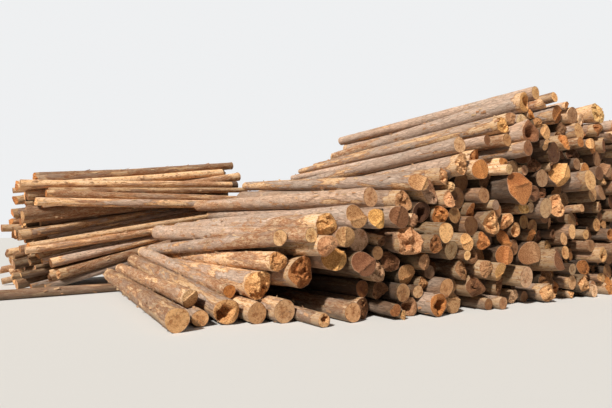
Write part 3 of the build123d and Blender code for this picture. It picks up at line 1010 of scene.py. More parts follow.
@dataclass
class StemBuilder:
    """Builds the bark surface and both ends of one log into a piece.

    Attributes:
        stem: The log.
        store: The piece that it belongs to.
        carriers: Faces that small pieces are set on later.
        bark_slot: Number of the bark's material.
        wood_slot: Number of the wood's material.
        thin_radius: Mean radius below which a log counts as thin.
        swell_length: How far up the log its root swell reaches.
        root_reach: How far up the log its root lobes reach.
        pull_reach: How far along the log its rings follow the relief of an end.
        bark_depth: Share of the radius that the surface keeps inside the solid.
        lump_height: Height of the log's broad lumps in metres.
        grain_height: Height of its short ripples in metres.
        rim_share: Place of an end's outermost ring, as a share of its radius.
        next_share: Place of the ring inside that one.
        dust_reach: How far from an end dust lies on the bark.
        shed_bare: How bare a plated log must be to carry loose flakes.
        root_free: How much wider than the trunk a butt may be without root lobes.
        even_share: Share of the rings' places that is spread evenly on a finely built log.
        cut_facing: How far a felling cut must face back to shape the end.
        cut_relief: Share of the end's own relief that is kept on the cut.
        painted_shade_start: Depth in metres past which painted shade darkens a break.
        painted_shade_range: Depth from there to the darkest painted shade.
    """

    stem: Stem
    store: MeshStore
    carriers: Carriers
    bark_slot: int = 0
    wood_slot: int = 1
    thin_radius: float = 0.1
    swell_length: float = 0.52
    root_reach: float = 0.5
    pull_reach: float = 0.9
    bark_depth: float = 0.012
    lump_height: float = 0.0026
    grain_height: float = 0.0012
    rim_share: float = 0.955
    next_share: float = 0.86
    dust_reach: float = 0.12
    shed_bare: float = 0.25
    root_free: float = 1.06
    even_share: float = 0.62
    cut_facing: float = 0.1
    cut_relief: float = 0.25
    painted_shade_start: float = 0.03
    painted_shade_range: float = 0.17

    def __post_init__(self) -> None:
        """Draw the log's own shape from its seed."""
        stem = self.stem
        rng = Draws(stem.seed + SHAPE_STEP)
        self.thin = float(stem.radii.mean()) < self.thin_radius
        self.shift = rng.uniform(-40.0, 40.0, 3)
        self.oval = rng.uniform(0.0, 0.055)
        self.oval_way = rng.uniform(0.0, math.pi)
        self.lobed = rng.uniform(0.0, 0.035)
        self.lobe_way = rng.uniform(0.0, FULL_TURN)
        self.lumps = Ripple.drawn(rng, 12, 4, 0.22, 1.6)
        self.grain = Ripple.drawn(rng, 12, 9, 0.07, 0.3)
        self.bend = rng.uniform(0.008, 0.022) if self.thin else rng.uniform(0.002, 0.009)
        self.bend_way = rng.uniform(0.0, FULL_TURN)
        self.bend_turns = rng.uniform(0.6, 1.7)
        self.near_cap = EndCap(stem.near_form, float(stem.radii[0]), rng)
        self.far_cap = EndCap(stem.far_form, float(stem.radii[-1]), rng)
        past_swell = float(stem.radius_at(np.array([self.swell_length]))[0])
        self.flare = max(float(stem.radii[0]) / past_swell - self.root_free, 0.0)
        self.pith = rng.uniform(-0.14, 0.14, 2)
        # The bark's tone is drawn at random, from a darker range as painted shade inside the stack, and
        # darkened by the log's painted set-back shade
        self.tone = rng.uniform(*self.tones()) * stem.shade

        # Strips of bark that have come off near each end: how bare they are and how far they reach
        amounts, shares = (0.0, 0.35, 0.8), (0.45, 0.3, 0.25)
        self.strips = [(rng.choice(amounts, p=shares), rng.uniform(0.06, 0.28)) for _ in range(2)]

    def tones(self) -> Span:
        """Choose how dark the bark may be: logs inside the stack get darker bark, as painted shade.

        Returns:
            The darkest and the palest tone.
        """
        # Painted shade: the bark of logs inside the stack is drawn darker
        if not self.stem.shown:
            return 0.15, 0.72
        return (0.70, 1.34) if self.thin else (0.70, 1.06)

    def resolution(self) -> Resolution:
        """Choose how finely this log is built.

        Returns:
            The resolution.
        """
        if self.stem.shown and self.stem.node in ("toe_logs", "slope_logs", "top_logs"):
            return FULL_LENGTH
        if self.stem.shown:
            return SHOWN_THIN if self.thin else SHOWN_THICK
        if self.stem.prominent:
            return STANDS_OUT
        return INSIDE_SAWN if self.stem.near_form is EndForm.SAWN else INSIDE_BROKEN

    def ring_places(self, rings: int) -> Vec:
        """Place the rings along the log, closer together near its ends.

        Args:
            rings: How many rings there are.

        Returns:
            Their distances from the near end.
        """
        if rings > 2 * len(END_RINGS):
            share = np.linspace(0.0, 1.0, rings)
            blend = 0.5 - 0.5 * np.cos(math.pi * share)
            return self.stem.length * (self.even_share * share + (1.0 - self.even_share) * blend)
        near = np.array(END_RINGS)
        far = self.stem.length - near[:FAR_RINGS][::-1]
        between = np.linspace(near[-1], far[0], rings - len(near) - len(far) + 2)[1:-1]
        return np.concatenate([near, between, far])

    def depths(self, near_end: bool, u: Vec, v: Vec) -> Vec:
        """Work out the depth of an end, with the felling cut of the solid.

        Args:
            near_end: Whether this is the end that faces the viewer.
            u: Sideways places as shares of the radius.
            v: Upward places as shares of the radius.

        Returns:
            The depths in metres.
        """
        if not near_end:
            return self.far_cap.depth_at(u, v)
        depth = self.near_cap.depth_at(u, v)
        normal = self.stem.cut_normal
        if normal[2] < -self.cut_facing:
            radius = float(self.stem.radii[0])
            plane = (self.stem.cut_place - radius * (normal[0] * u + normal[1] * v)) / normal[2]
            depth = np.maximum(depth, plane + self.cut_relief * depth)
        return depth

    def centre_line(self, along: Vec) -> Vec:
        """Bend the log a little.

        Args:
            along: Distances from the near end in metres.

        Returns:
            The sideways and upward drift of its middle.
        """
        share = along / self.stem.length
        amount = self.bend * np.sin(math.pi * share) * np.sin(FULL_TURN * self.bend_turns * share)
        return np.column_stack([amount * math.cos(self.bend_way), 0.6 * amount * math.sin(self.bend_way)])

    def side_radius(self, angle: Vec, along: Vec) -> Vec:
        """Work out the radius of the bark surface.

        Args:
            angle: Angles round the log in radians.
            along: Distances from the near end in metres.

        Returns:
            The radii in metres.
        """
        base = self.stem.radius_at(along)
        shape = 1.0 + self.oval * np.cos(2.0 * (angle - self.oval_way))
        shape += self.lobed * np.cos(3.0 * (angle - self.lobe_way))
        root = np.clip(1.0 - along / self.root_reach, 0.0, 1.0) ** 2
        lobes = 0.7 * np.cos(3.0 * angle + self.lobe_way) + 0.3 * np.cos(5.0 * angle - self.lobe_way)
        shape += root * (0.03 + 0.42 * self.flare) * lobes
        rough = self.lump_height * self.lumps.at(angle, along)
        rough = rough + self.grain_height * self.grain.at(angle, along)
        return base * (shape - self.bark_depth) + rough * (0.5 if self.thin else 1.0)

    def build(self) -> None:
        """Add the log's surface to the piece."""
        detail = self.resolution()
        turn = FULL_TURN * np.arange(detail.around) / detail.around
        angle, along = np.meshgrid(turn, self.ring_places(detail.rings))
        near_depth = self.depths(True, np.cos(turn), np.sin(turn))
        far_depth = self.depths(False, np.cos(turn), np.sin(turn))
        length = self.stem.length
        pull = np.clip(1.0 - along / self.pull_reach, 0.0, 1.0) ** 3
        push = np.clip(1.0 - (length - along) / self.pull_reach, 0.0, 1.0) ** 3
        along = along + pull * near_depth - push * far_depth
        radius = self.side_radius(angle, along)
        drift = self.centre_line(along[:, 0])[:, None, :]
        side, up = radius * np.cos(angle) + drift[..., 0], radius * np.sin(angle) + drift[..., 1]
        local = np.stack([side, up, along], axis=-1)
        flat = local.reshape(-1, 3)
        floats, tint = self.side_floats(angle, along), self.side_tint(angle, along)
        first = self.add_to(self.store, flat, floats, tint, np.zeros_like(flat))
        numbers = first + np.arange(len(flat)).reshape(local.shape[:2])
        self.store.add_faces(self.bands(numbers, True), self.bark_slot)
        if self.stem.shown:
            self.carry_side(flat, local.shape[:2])
        self.cap(True, turn, local[0], numbers[0], detail.near_rings)
        self.cap(False, turn, local[-1], numbers[-1], detail.far_rings)

    def carry_side(self, flat: Vec, shape: tuple[int, int]) -> None:
        """Hand the bark on to the pieces that are set on it.

        Args:
            flat: The bark's vertices in the log's own axes.
            shape: How many rings and how many vertices round.
        """
        stores = [self.carriers.trunks]
        if self.stem.bark is not BarkKind.PLATED or self.stem.bare > self.shed_bare:
            stores.append(self.carriers.flaky)
        tint = np.tile(Palette.flake, (len(flat), 1))
        for store in stores:
            first = self.add_to(store, flat, {}, tint, np.zeros_like(flat))
            store.add_faces(self.bands(first + np.arange(len(flat)).reshape(shape), True), 0)

    @staticmethod
    def bands(numbers: Vec, flip: bool) -> Vec:
        """Join rings of vertices by quads.

        Args:
            numbers: The vertices' numbers, one row a ring.
            flip: Whether to turn the quads over.

        Returns:
            The quads.
        """
        after = np.roll(numbers, -1, axis=1)
        faces = np.stack([numbers[:-1], after[:-1], after[1:], numbers[1:]], axis=-1).reshape(-1, 4)
        return faces[:, ::-1] if flip else faces

    def add_to(
        self, store: MeshStore, local: Vec, floats: dict[str, Vec], tint: Vec, face: Vec, way: float = 1.0
    ) -> int:
        """Add vertices to a store.

        Args:
            store: The piece or carrier that they go to.
            local: Their places in the log's own axes.
            floats: Their attributes with one number.
            tint: Their colours.
            face: Their places from an end's pith, all zero on the bark.
            way: One where the grain points away from the near end, minus one where it points back.

        Returns:
            The number of the first added vertex.
        """
        basis = self.stem.basis
        grain = np.tile(way * basis[2], (len(local), 1))
        vectors = {"stem": local + self.shift, "tint": tint, "face": face, "grain": grain}
        return store.add_points(self.stem.near + local @ basis, floats, vectors)

    def side_floats(self, angle: Vec, along: Vec) -> dict[str, Vec]:
        """Say how flaky and bare the bark is, and how near to an end.

        Args:
            angle: Angles round the log in radians.
            along: Distances from the near end in metres.

        Returns:
            The attributes by name.
        """
        stem = self.stem
        base = {BarkKind.PLATED: -0.25, BarkKind.MIXED: 0.3, BarkKind.FLAKY: 0.95}[stem.bark]
        share = along / stem.length
        towards_top = share if stem.radii[0] > stem.radii[-1] else 1.0 - share
        wander = 0.12 * self.lumps.at(angle * 0.5, along * 0.3)
        flake = np.clip(base + 0.75 * (towards_top - 0.45) + wander, 0.0, 1.0)
        bare = np.full(along.shape, stem.bare) + 0.10 * self.lumps.at(angle, along * 0.5)
        edge = np.minimum(along, stem.length - along)
        ends = ((along, stem.near_form, self.strips[0]), (stem.length - along, stem.far_form, self.strips[1]))
        for away, form, (amount, reach) in ends:
            worn = 1.0 if form is EndForm.TORN else amount
            wide = reach * (1.8 if form is EndForm.TORN else 1.0)
            bare = bare + worn * np.clip(1.3 - away / wide, 0.0, 1.0)
        floats = {
            "flake": flake,
            "bare": np.clip(bare, 0.0, 1.0),
            "rim": np.clip(1.0 - edge / self.dust_reach, 0.0, 1.0),
            "heart": np.ones(along.shape),
            "torn": np.zeros(along.shape),
            "tone": np.full(along.shape, self.tone),
        }
        return {name: values.reshape(-1) for name, values in floats.items()}

    def side_tint(self, angle: Vec, along: Vec) -> Vec:
        """Give the bark its base colour.

        Args:
            angle: Angles round the log in radians.
            along: Distances from the near end in metres.

        Returns:
            One colour for each place.
        """
        warm = Draws(self.stem.seed + WARMTH_STEP).rand()
        base = (1.0 - warm) * np.array(Palette.plate) + warm * np.array(Palette.plate_warm)
        # Painted shade: the bark of logs inside the stack is made warmer
        if not self.stem.shown:
            base = base * Palette.inside
        change = 1.0 + 0.10 * self.lumps.at(angle * 0.5, along * 0.25)
        return change.reshape(-1, 1) * base

    def cap(self, near_end: bool, turn: Vec, rim: Vec, rim_numbers: Vec, rings: int) -> None:
        """Close one end of the log with its relief.

        Args:
            near_end: Whether this is the end that faces the viewer.
            turn: The angles of the rim's vertices.
            rim: The rim's vertices in the log's own axes.
            rim_numbers: Their numbers in the piece.
            rings: How many rings the end has.
        """
        stem = self.stem
        length = stem.length
        shares = np.concatenate([[self.rim_share], np.linspace(self.next_share, 0.0, rings)[:-1]])
        angle, share = np.meshgrid(turn, shares)
        u, v = share * np.cos(angle), share * np.sin(angle)
        depth = self.depths(near_end, u, v)
        middle = rim.mean(axis=0)
        flat = middle[:2] + share[..., None] * (rim - middle)[None, :, :2]
        along = depth if near_end else length - depth
        local = np.concatenate([flat, along[..., None]], axis=-1).reshape(-1, 3)

        # The rings close in one vertex, the hub, which comes last
        hub_depth = float(self.depths(near_end, np.zeros(1), np.zeros(1))[0])
        local = np.vstack([local, [[middle[0], middle[1], hub_depth if near_end else length - hub_depth]]])
        reach = np.append(share.reshape(-1), 0.0)
        places = np.vstack([np.column_stack([u.reshape(-1), v.reshape(-1)]), np.zeros((1, 2))])
        sunk = np.append(depth.reshape(-1), hub_depth)

        form = stem.near_form if near_end else stem.far_form
        tint = np.array(stem.near_tint if near_end else stem.far_tint)
        # Painted shade: wood that lies deeper in an end is darker, and the splinters on a torn end take this
        # shaded tint too
        deep = np.clip((sunk - sunk.min() - self.painted_shade_start) / self.painted_shade_range, 0.0, 1.0)
        shade = 1.0 - deep[:, None] * Palette.sunk
        step = NEAR_END_STEP if near_end else FAR_END_STEP
        floats = {
            "flake": np.full(len(reach), Draws(stem.seed + step).rand()),
            "bare": np.zeros(len(reach)),
            "rim": reach,
            "heart": np.linalg.norm(places - self.pith, axis=1),
            "torn": np.full(len(reach), 0.0 if form is EndForm.SAWN else 1.0),
            "tone": np.ones(len(reach)),
        }
        pith = middle[:2] + self.pith * stem.radii[0]
        centred = local - np.append(pith, 0.0)
        first = self.add_to(self.store, local, floats, shade * tint, centred)
        inner = first + np.arange(len(local) - 1).reshape(share.shape)
        numbers = np.vstack([rim_numbers, inner])
        self.store.add_faces(self.bands(numbers, not near_end), self.wood_slot)
        if form is EndForm.TORN:
            breaks, way = self.carriers.breaks, -1.0 if near_end else 1.0
            start = self.add_to(breaks, local, {}, shade * tint, centred, way)
            breaks.add_faces(self.bands(inner - first + start, not near_end), 0)
        hub = np.full(len(turn), first + len(local) - 1)
        last, after = numbers[-1], np.roll(numbers[-1], -1)
        fan = (last, after, hub) if near_end else (last, hub, after)
        self.store.add_faces(np.stack(fan, axis=-1), self.wood_slot)


@dataclass
class NodeDesk:
    """Short ways to add nodes and wire them up.

    Attributes:
        tree: The node tree that is being built.
    """

    tree: bpy.types.NodeTree

    def add(
        self, kind: str, given: dict[int | str, object] | None = None, **settings: object
    ) -> bpy.types.Node:
        """Add a node.

        Args:
            kind: Blender's name for the node.
            given: Sockets or plain values for its inputs, by number or name.
            settings: Its properties.

        Returns:
            The node.
        """
        node = self.tree.nodes.new(kind)
        for name, value in settings.items():
            setattr(node, name, value)
        for key, value in (given or {}).items():
            if isinstance(value, Socket):
                self.tree.links.new(value, node.inputs[key])
            else:
                node.inputs[key].default_value = value
        return node

    def attribute(self, name: str, output: str = "Fac") -> Socket:
        """Read a named attribute of the piece."""
        return self.add("ShaderNodeAttribute", attribute_name=name).outputs[output]

    def object_place(self) -> Socket:
        """Give places on the piece in metres."""
        return self.add("ShaderNodeTexCoord").outputs["Object"]

    def math(self, operation: str, first: object, second: object = 0.0, third: object = 0.0) -> Socket:
        """Work on up to three numbers."""
        return self.add("ShaderNodeMath", {0: first, 1: second, 2: third}, operation=operation).outputs[0]

    def flip(self, value: object, share: float = 1.0) -> Socket:
        """Give one less a share of a value."""
        return self.math("SUBTRACT", 1.0, value if share == 1.0 else self.math("MULTIPLY", value, share))

    def lerp(self, factor: object, first: object, second: object) -> Socket:
        """Mix two numbers."""
        given = {0: factor, 2: first, 3: second}
        return self.add("ShaderNodeMix", given, data_type="FLOAT", clamp_factor=True).outputs[0]

    def stretch(self, vector: object, scale: Rgb) -> Socket:
        """Scale a place, so that a pattern runs along the grain."""
        return self.add("ShaderNodeVectorMath", {0: vector, 1: scale}, operation="MULTIPLY").outputs[0]

    def shift(self, vector: object, amount: object) -> Socket:
        """Add a number or a vector to a place."""
        return self.add("ShaderNodeVectorMath", {0: vector, 1: amount}, operation="ADD").outputs[0]

    def parts(self, vector: object) -> bpy.types.bpy_prop_collection:
        """Take a place apart into its X, Y and Z."""
        return self.add("ShaderNodeSeparateXYZ", {0: vector}).outputs

    def join(self, *values: object) -> Socket:
        """Put an X, a Y and a Z together."""
        return self.add("ShaderNodeCombineXYZ", dict(enumerate(values))).outputs[0]

    def grey(self, value: Socket) -> Socket:
        """Spread one number over three channels."""
        return self.join(value, value, value)

    def noise(
        self, vector: object, scale: float | Rgb, detail: float = 3.0, rough: float = 0.55
    ) -> Socket:
        """Add a noise.

        Args:
            vector: The place to read it at.
            scale: How often it repeats in a metre, in all ways or in each.
            detail: How many finer noises are added to it.
            rough: How strong those are.

        Returns:
            Its grey value.
        """
        if isinstance(scale, tuple):
            vector, scale = self.stretch(vector, scale), 1.0
        given = {"Vector": vector, "Scale": scale, "Detail": detail, "Roughness": rough}
        return self.add("ShaderNodeTexNoise", given).outputs["Fac"]

    def cells(self, vector: object, feature: str, output: str) -> Socket:
        """Add a pattern of cells and give one of its outputs."""
        given = {"Vector": vector, "Scale": 1.0}
        return self.add("ShaderNodeTexVoronoi", given, feature=feature).outputs[output]

    def fit(self, value: object, low: float, high: float, start: float = 0.0, stop: float = 1.0) -> Socket:
        """Map a value smoothly from one range to another and hold it there.

        Args:
            value: The value.
            low: Where its range starts.
            high: Where its range stops.
            start: What it is at the low side.
            stop: What it is at the high side.

        Returns:
            The mapped value.
        """
        given = {"Value": value, "From Min": low, "From Max": high, "To Min": start, "To Max": stop}
        node = self.add("ShaderNodeMapRange", given, interpolation_type="SMOOTHSTEP", clamp=True)
        return node.outputs["Result"]

    def blend(self, factor: object, first: object, second: object, kind: str = "MIX") -> Socket:
        """Mix two colours.

        Args:
            factor: How much of the second colour shows.
            first: The colour below.
            second: The colour over it.
            kind: How the two are mixed.

        Returns:
            The mixed colour.
        """
        first, second = ((*value, 1.0) if isinstance(value, tuple) else value for value in (first, second))
        given = {0: factor, 6: first, 7: second}
        node = self.add("ShaderNodeMix", given, data_type="RGBA", blend_type=kind, clamp_factor=True)
        return node.outputs[2]

    def times(self, first: object, second: object) -> Socket:
        """Multiply two colours."""
        return self.blend(1.0, first, second, "MULTIPLY")

    def shade(self, factor: object, colour: object, tint: Rgb) -> Socket:
        """Multiply a colour by another one as far as a factor says."""
        return self.blend(factor, colour, self.times(colour, tint))

    def bump(self, height: object, depth: float, under: Socket | None = None) -> Socket:
        """Turn a height into a normal.

        Args:
            height: The height, from zero to about one.
            depth: What a height of one is in metres.
            under: Another normal below it.

        Returns:
            The normal.
        """
        given = {"Strength": 1.0, "Distance": depth, "Height": height}
        if under is not None:
            given["Normal"] = under
        return self.add("ShaderNodeBump", given).outputs["Normal"]


# Specular level of bark, wood and floor, half that of a polished surface
DULL = 0.25


def new_material(name: str) -> tuple[bpy.types.Material, NodeDesk, bpy.types.Node]:
    """Make an empty node material with a Principled shader.

    Args:
        name: The material's name.

    Returns:
        The material, a desk for its tree and its shader.
    """
    material = bpy.data.materials.new(name)
    material.use_nodes = True
    material.node_tree.nodes.clear()
    desk = NodeDesk(material.node_tree)
    shader = desk.add("ShaderNodeBsdfPrincipled", {"Specular IOR Level": DULL})
    desk.add("ShaderNodeOutputMaterial", {0: shader.outputs[0]})
    return material, desk, shader


def dress(desk: NodeDesk, shader: bpy.types.Node, colour: Socket, roughness: float, normal: Socket) -> None:
    """Feed a finish into its shader.

    Args:
        desk: The desk of its tree.
        shader: The shader.
        colour: The base colour.
        roughness: The roughness.
        normal: The normal with the finish's relief.
    """
    desk.tree.links.new(colour, shader.inputs["Base Color"])
    desk.tree.links.new(normal, shader.inputs["Normal"])
    shader.inputs["Roughness"].default_value = roughness


@dataclass(frozen=True)
class BarkFinish:
    """Pine bark: grey plates with dark cracks low on the trunk, thin orange flakes higher up.

    The first group of fields holds colours. The second holds colours that darken or brighten the
    bark where it is multiplied by them. The third says how often a pattern repeats in a metre,
    across the log twice and then along it.
    """

    crack: Rgb = (0.150, 0.092, 0.064)
    lichen: Rgb = (0.50, 0.415, 0.345)
    inner: Rgb = (0.34, 0.140, 0.058)
    peeled: Rgb = (0.70, 0.385, 0.155)
    peeled_pale: Rgb = (0.78, 0.58, 0.38)
    scuffed: Rgb = (0.60, 0.44, 0.32)
    mud: Rgb = (0.20, 0.155, 0.115)

    bleached: Rgb = (1.38, 1.34, 1.30)
    streaked: Rgb = (0.60, 0.50, 0.43)
    mottled: Rgb = (0.58, 0.48, 0.40)
    flaked: Rgb = (0.58, 0.48, 0.42)

    wander_scale: Rgb = (9.0, 9.0, 4.0)
    streak_scale: Rgb = (52.0, 52.0, 5.0)
    plate_scale: Rgb = (24.0, 24.0, 5.0)
    fine_scale: Rgb = (90.0, 90.0, 45.0)
    broad_scale: Rgb = (5.0, 5.0, 1.6)
    mottle_scale: Rgb = (20.0, 20.0, 5.0)
    flake_scale: Rgb = (44.0, 44.0, 15.0)
    ragged_scale: Rgb = (48.0, 48.0, 13.0)
    tongue_scale: Rgb = (6.5, 6.5, 1.3)
    peel_scale: Rgb = (8.0, 8.0, 0.9)
    fibre_scale: Rgb = (110.0, 110.0, 3.0)
    shag_scale: Rgb = (34.0, 34.0, 12.0)

    warp: float = 0.05
    mud_height: float = 0.35
    relief_depth: float = 0.009
    fine_depth: float = 0.0028
    roughness: float = 0.88

    def build(self, name: str) -> bpy.types.Material:
        """Build the bark material.

        Args:
            name: The material's name.

        Returns:
            The material.
        """
        material, desk, shader = new_material(name)
        place = desk.attribute("stem", "Vector")
        flake, bare, rim = desk.attribute("flake"), desk.attribute("bare"), desk.attribute("rim")
        tint = desk.attribute("tint", "Color")
        wander = desk.noise(place, self.wander_scale, 2.0)
        warped = desk.shift(place, desk.math("MULTIPLY", wander, self.warp))
        fine = desk.noise(place, self.fine_scale, 4.0, 0.65)
        broad = desk.noise(place, self.broad_scale, 3.0)

        # Plates of the lower trunk, longer than wide, with cracks between them
        streak = desk.noise(warped, self.streak_scale, 4.0, 0.62)
        plate_place = desk.shift(desk.stretch(warped, self.plate_scale), desk.math("MULTIPLY", streak, 0.9))
        crack_width = desk.cells(plate_place, "DISTANCE_TO_EDGE", "Distance")
        crack_width = desk.math("ADD", crack_width, desk.math("MULTIPLY_ADD", streak, -0.5, 0.3))
        crack = desk.fit(crack_width, 0.0, 0.16)
        plate_tone = desk.cells(plate_place, "F1", "Color")
        plated = desk.blend(desk.fit(broad, 0.42, 0.68, 0.0, 0.55), tint, self.lichen)
        plated = desk.shade(desk.fit(fine, 0.3, 0.7, 0.0, 0.8), plated, self.bleached)
        plated = desk.times(plated, desk.grey(desk.math("MULTIPLY_ADD", plate_tone, 0.30, 0.86)))
        plated = desk.shade(desk.fit(streak, 0.32, 0.60, 0.5, 0.0), plated, self.streaked)
        plated = desk.blend(desk.math("MULTIPLY", desk.flip(crack), 0.45), plated, self.crack)

        # Broad mottling that still shows from some way off
        mottle = desk.noise(warped, self.mottle_scale, 5.0, 0.68)
        plated = desk.shade(desk.fit(mottle, 0.44, 0.34, 0.0, 0.65), plated, self.mottled)
        plated = desk.blend(desk.fit(mottle, 0.55, 0.66, 0.0, 0.5), plated, self.scuffed)

        # Thin flakes of the upper trunk in reddish and straw tones
        flake_place = desk.stretch(warped, self.flake_scale)
        flake_edge = desk.cells(flake_place, "DISTANCE_TO_EDGE", "Distance")
        flake_tone = desk.noise(desk.cells(flake_place, "F1", "Color"), 3.1, 1.0)
        ragged = desk.noise(warped, self.ragged_scale, 5.0, 0.72)
        scaly = desk.blend(desk.fit(flake_tone, 0.40, 0.60), Palette.flake_red, Palette.flake)
        scaly = desk.blend(desk.fit(fine, 0.45, 0.75, 0.0, 0.6), scaly, self.peeled_pale)
        scaly = desk.blend(desk.fit(ragged, 0.54, 0.62, 0.0, 0.7), scaly, self.peeled_pale)
        scaly = desk.blend(desk.fit(ragged, 0.45, 0.37, 0.0, 0.7), scaly, self.inner)
        scaly = desk.blend(desk.fit(mottle, 0.52, 0.60, 0.0, 0.7), scaly, self.peeled_pale)
        scaly = desk.blend(desk.fit(mottle, 0.45, 0.37, 0.0, 0.7), scaly, self.inner)
        scaly = desk.blend(desk.fit(flake_edge, 0.0, 0.07, 0.75, 0.0), scaly, self.inner)
        scaly = desk.blend(desk.fit(broad, 0.44, 0.66, 0.0, 0.55), scaly, tint)
        scaly = desk.shade(desk.fit(streak, 0.34, 0.56, 0.6, 0.0), scaly, self.flaked)

        # Where each kind of bark gives way to the next, in broad tongues along the log
        tongue = desk.noise(place, self.tongue_scale, 4.0, 0.6)
        amount = desk.math("ADD", flake, desk.math("MULTIPLY_ADD", tongue, 1.6, -0.8))
        upper = desk.fit(amount, 0.42, 0.56)
        colour = desk.blend(upper, plated, scaly)

        # Where the bark has come off: a thin rind, then bare wood with shreds of inner bark
        peel_noise = desk.noise(warped, self.peel_scale, 5.0, 0.62)
        peel = desk.math("ADD", desk.math("MULTIPLY", bare, 0.52), peel_noise)
        rind, wood = desk.fit(peel, 0.66, 0.685), desk.fit(peel, 0.70, 0.72)
        fibre = desk.noise(place, self.fibre_scale, 3.0)
        shag = desk.noise(warped, self.shag_scale, 5.0, 0.7)
        pale = desk.blend(desk.fit(fibre, 0.35, 0.65), self.peeled, self.peeled_pale)
        pale = desk.blend(desk.fit(shag, 0.50, 0.62, 0.0, 0.85), pale, self.inner)
        pale = desk.blend(desk.fit(shag, 0.44, 0.36, 0.0, 0.5), pale, tint)
        pale = desk.blend(desk.fit(broad, 0.5, 0.7, 0.0, 0.5), pale, tint)
        colour = desk.blend(rind, colour, desk.blend(desk.fit(fibre, 0.3, 0.7), self.inner, Palette.flake))
        colour = desk.blend(wood, colour, pale)

        # Mud near the ground, and dust on the bark beside the cuts
        height = desk.parts(desk.object_place())["Z"]
        splash = desk.math("ADD", height, desk.math("MULTIPLY_ADD", broad, 0.5, -0.2))
        colour = desk.blend(desk.fit(splash, 0.02, self.mud_height, 0.8, 0.0), colour, self.mud)
        colour = desk.blend(desk.math("MULTIPLY", rim, 0.25), colour, Palette.weathered)
        # The tone darkens the bark at random, and as painted shade inside the stack and on set-back logs
        colour = desk.times(colour, desk.grey(desk.attribute("tone")))

        # Relief of the plates, flakes and fibres
        plate_height = desk.math("MULTIPLY", crack, desk.math("MULTIPLY_ADD", plate_tone, 0.4, 0.6))
        plate_height = desk.math("ADD", plate_height, desk.math("MULTIPLY", streak, 0.7))
        flake_height = desk.math("MULTIPLY_ADD", flake_tone, 0.5, 0.1)
        flake_height = desk.math("MULTIPLY", desk.fit(flake_edge, 0.0, 0.12), flake_height)
        flake_height = desk.math("ADD", flake_height, desk.fit(ragged, 0.40, 0.62, 0.0, 0.8))
        wood_height = desk.math("MULTIPLY_ADD", fibre, 0.12, desk.math("MULTIPLY_ADD", shag, 0.5, -0.4))
        relief = desk.lerp(rind, desk.lerp(upper, plate_height, flake_height), wood_height)
        normal = desk.bump(fine, self.fine_depth, desk.bump(relief, self.relief_depth))
        dress(desk, shader, colour, self.roughness, normal)
        return material


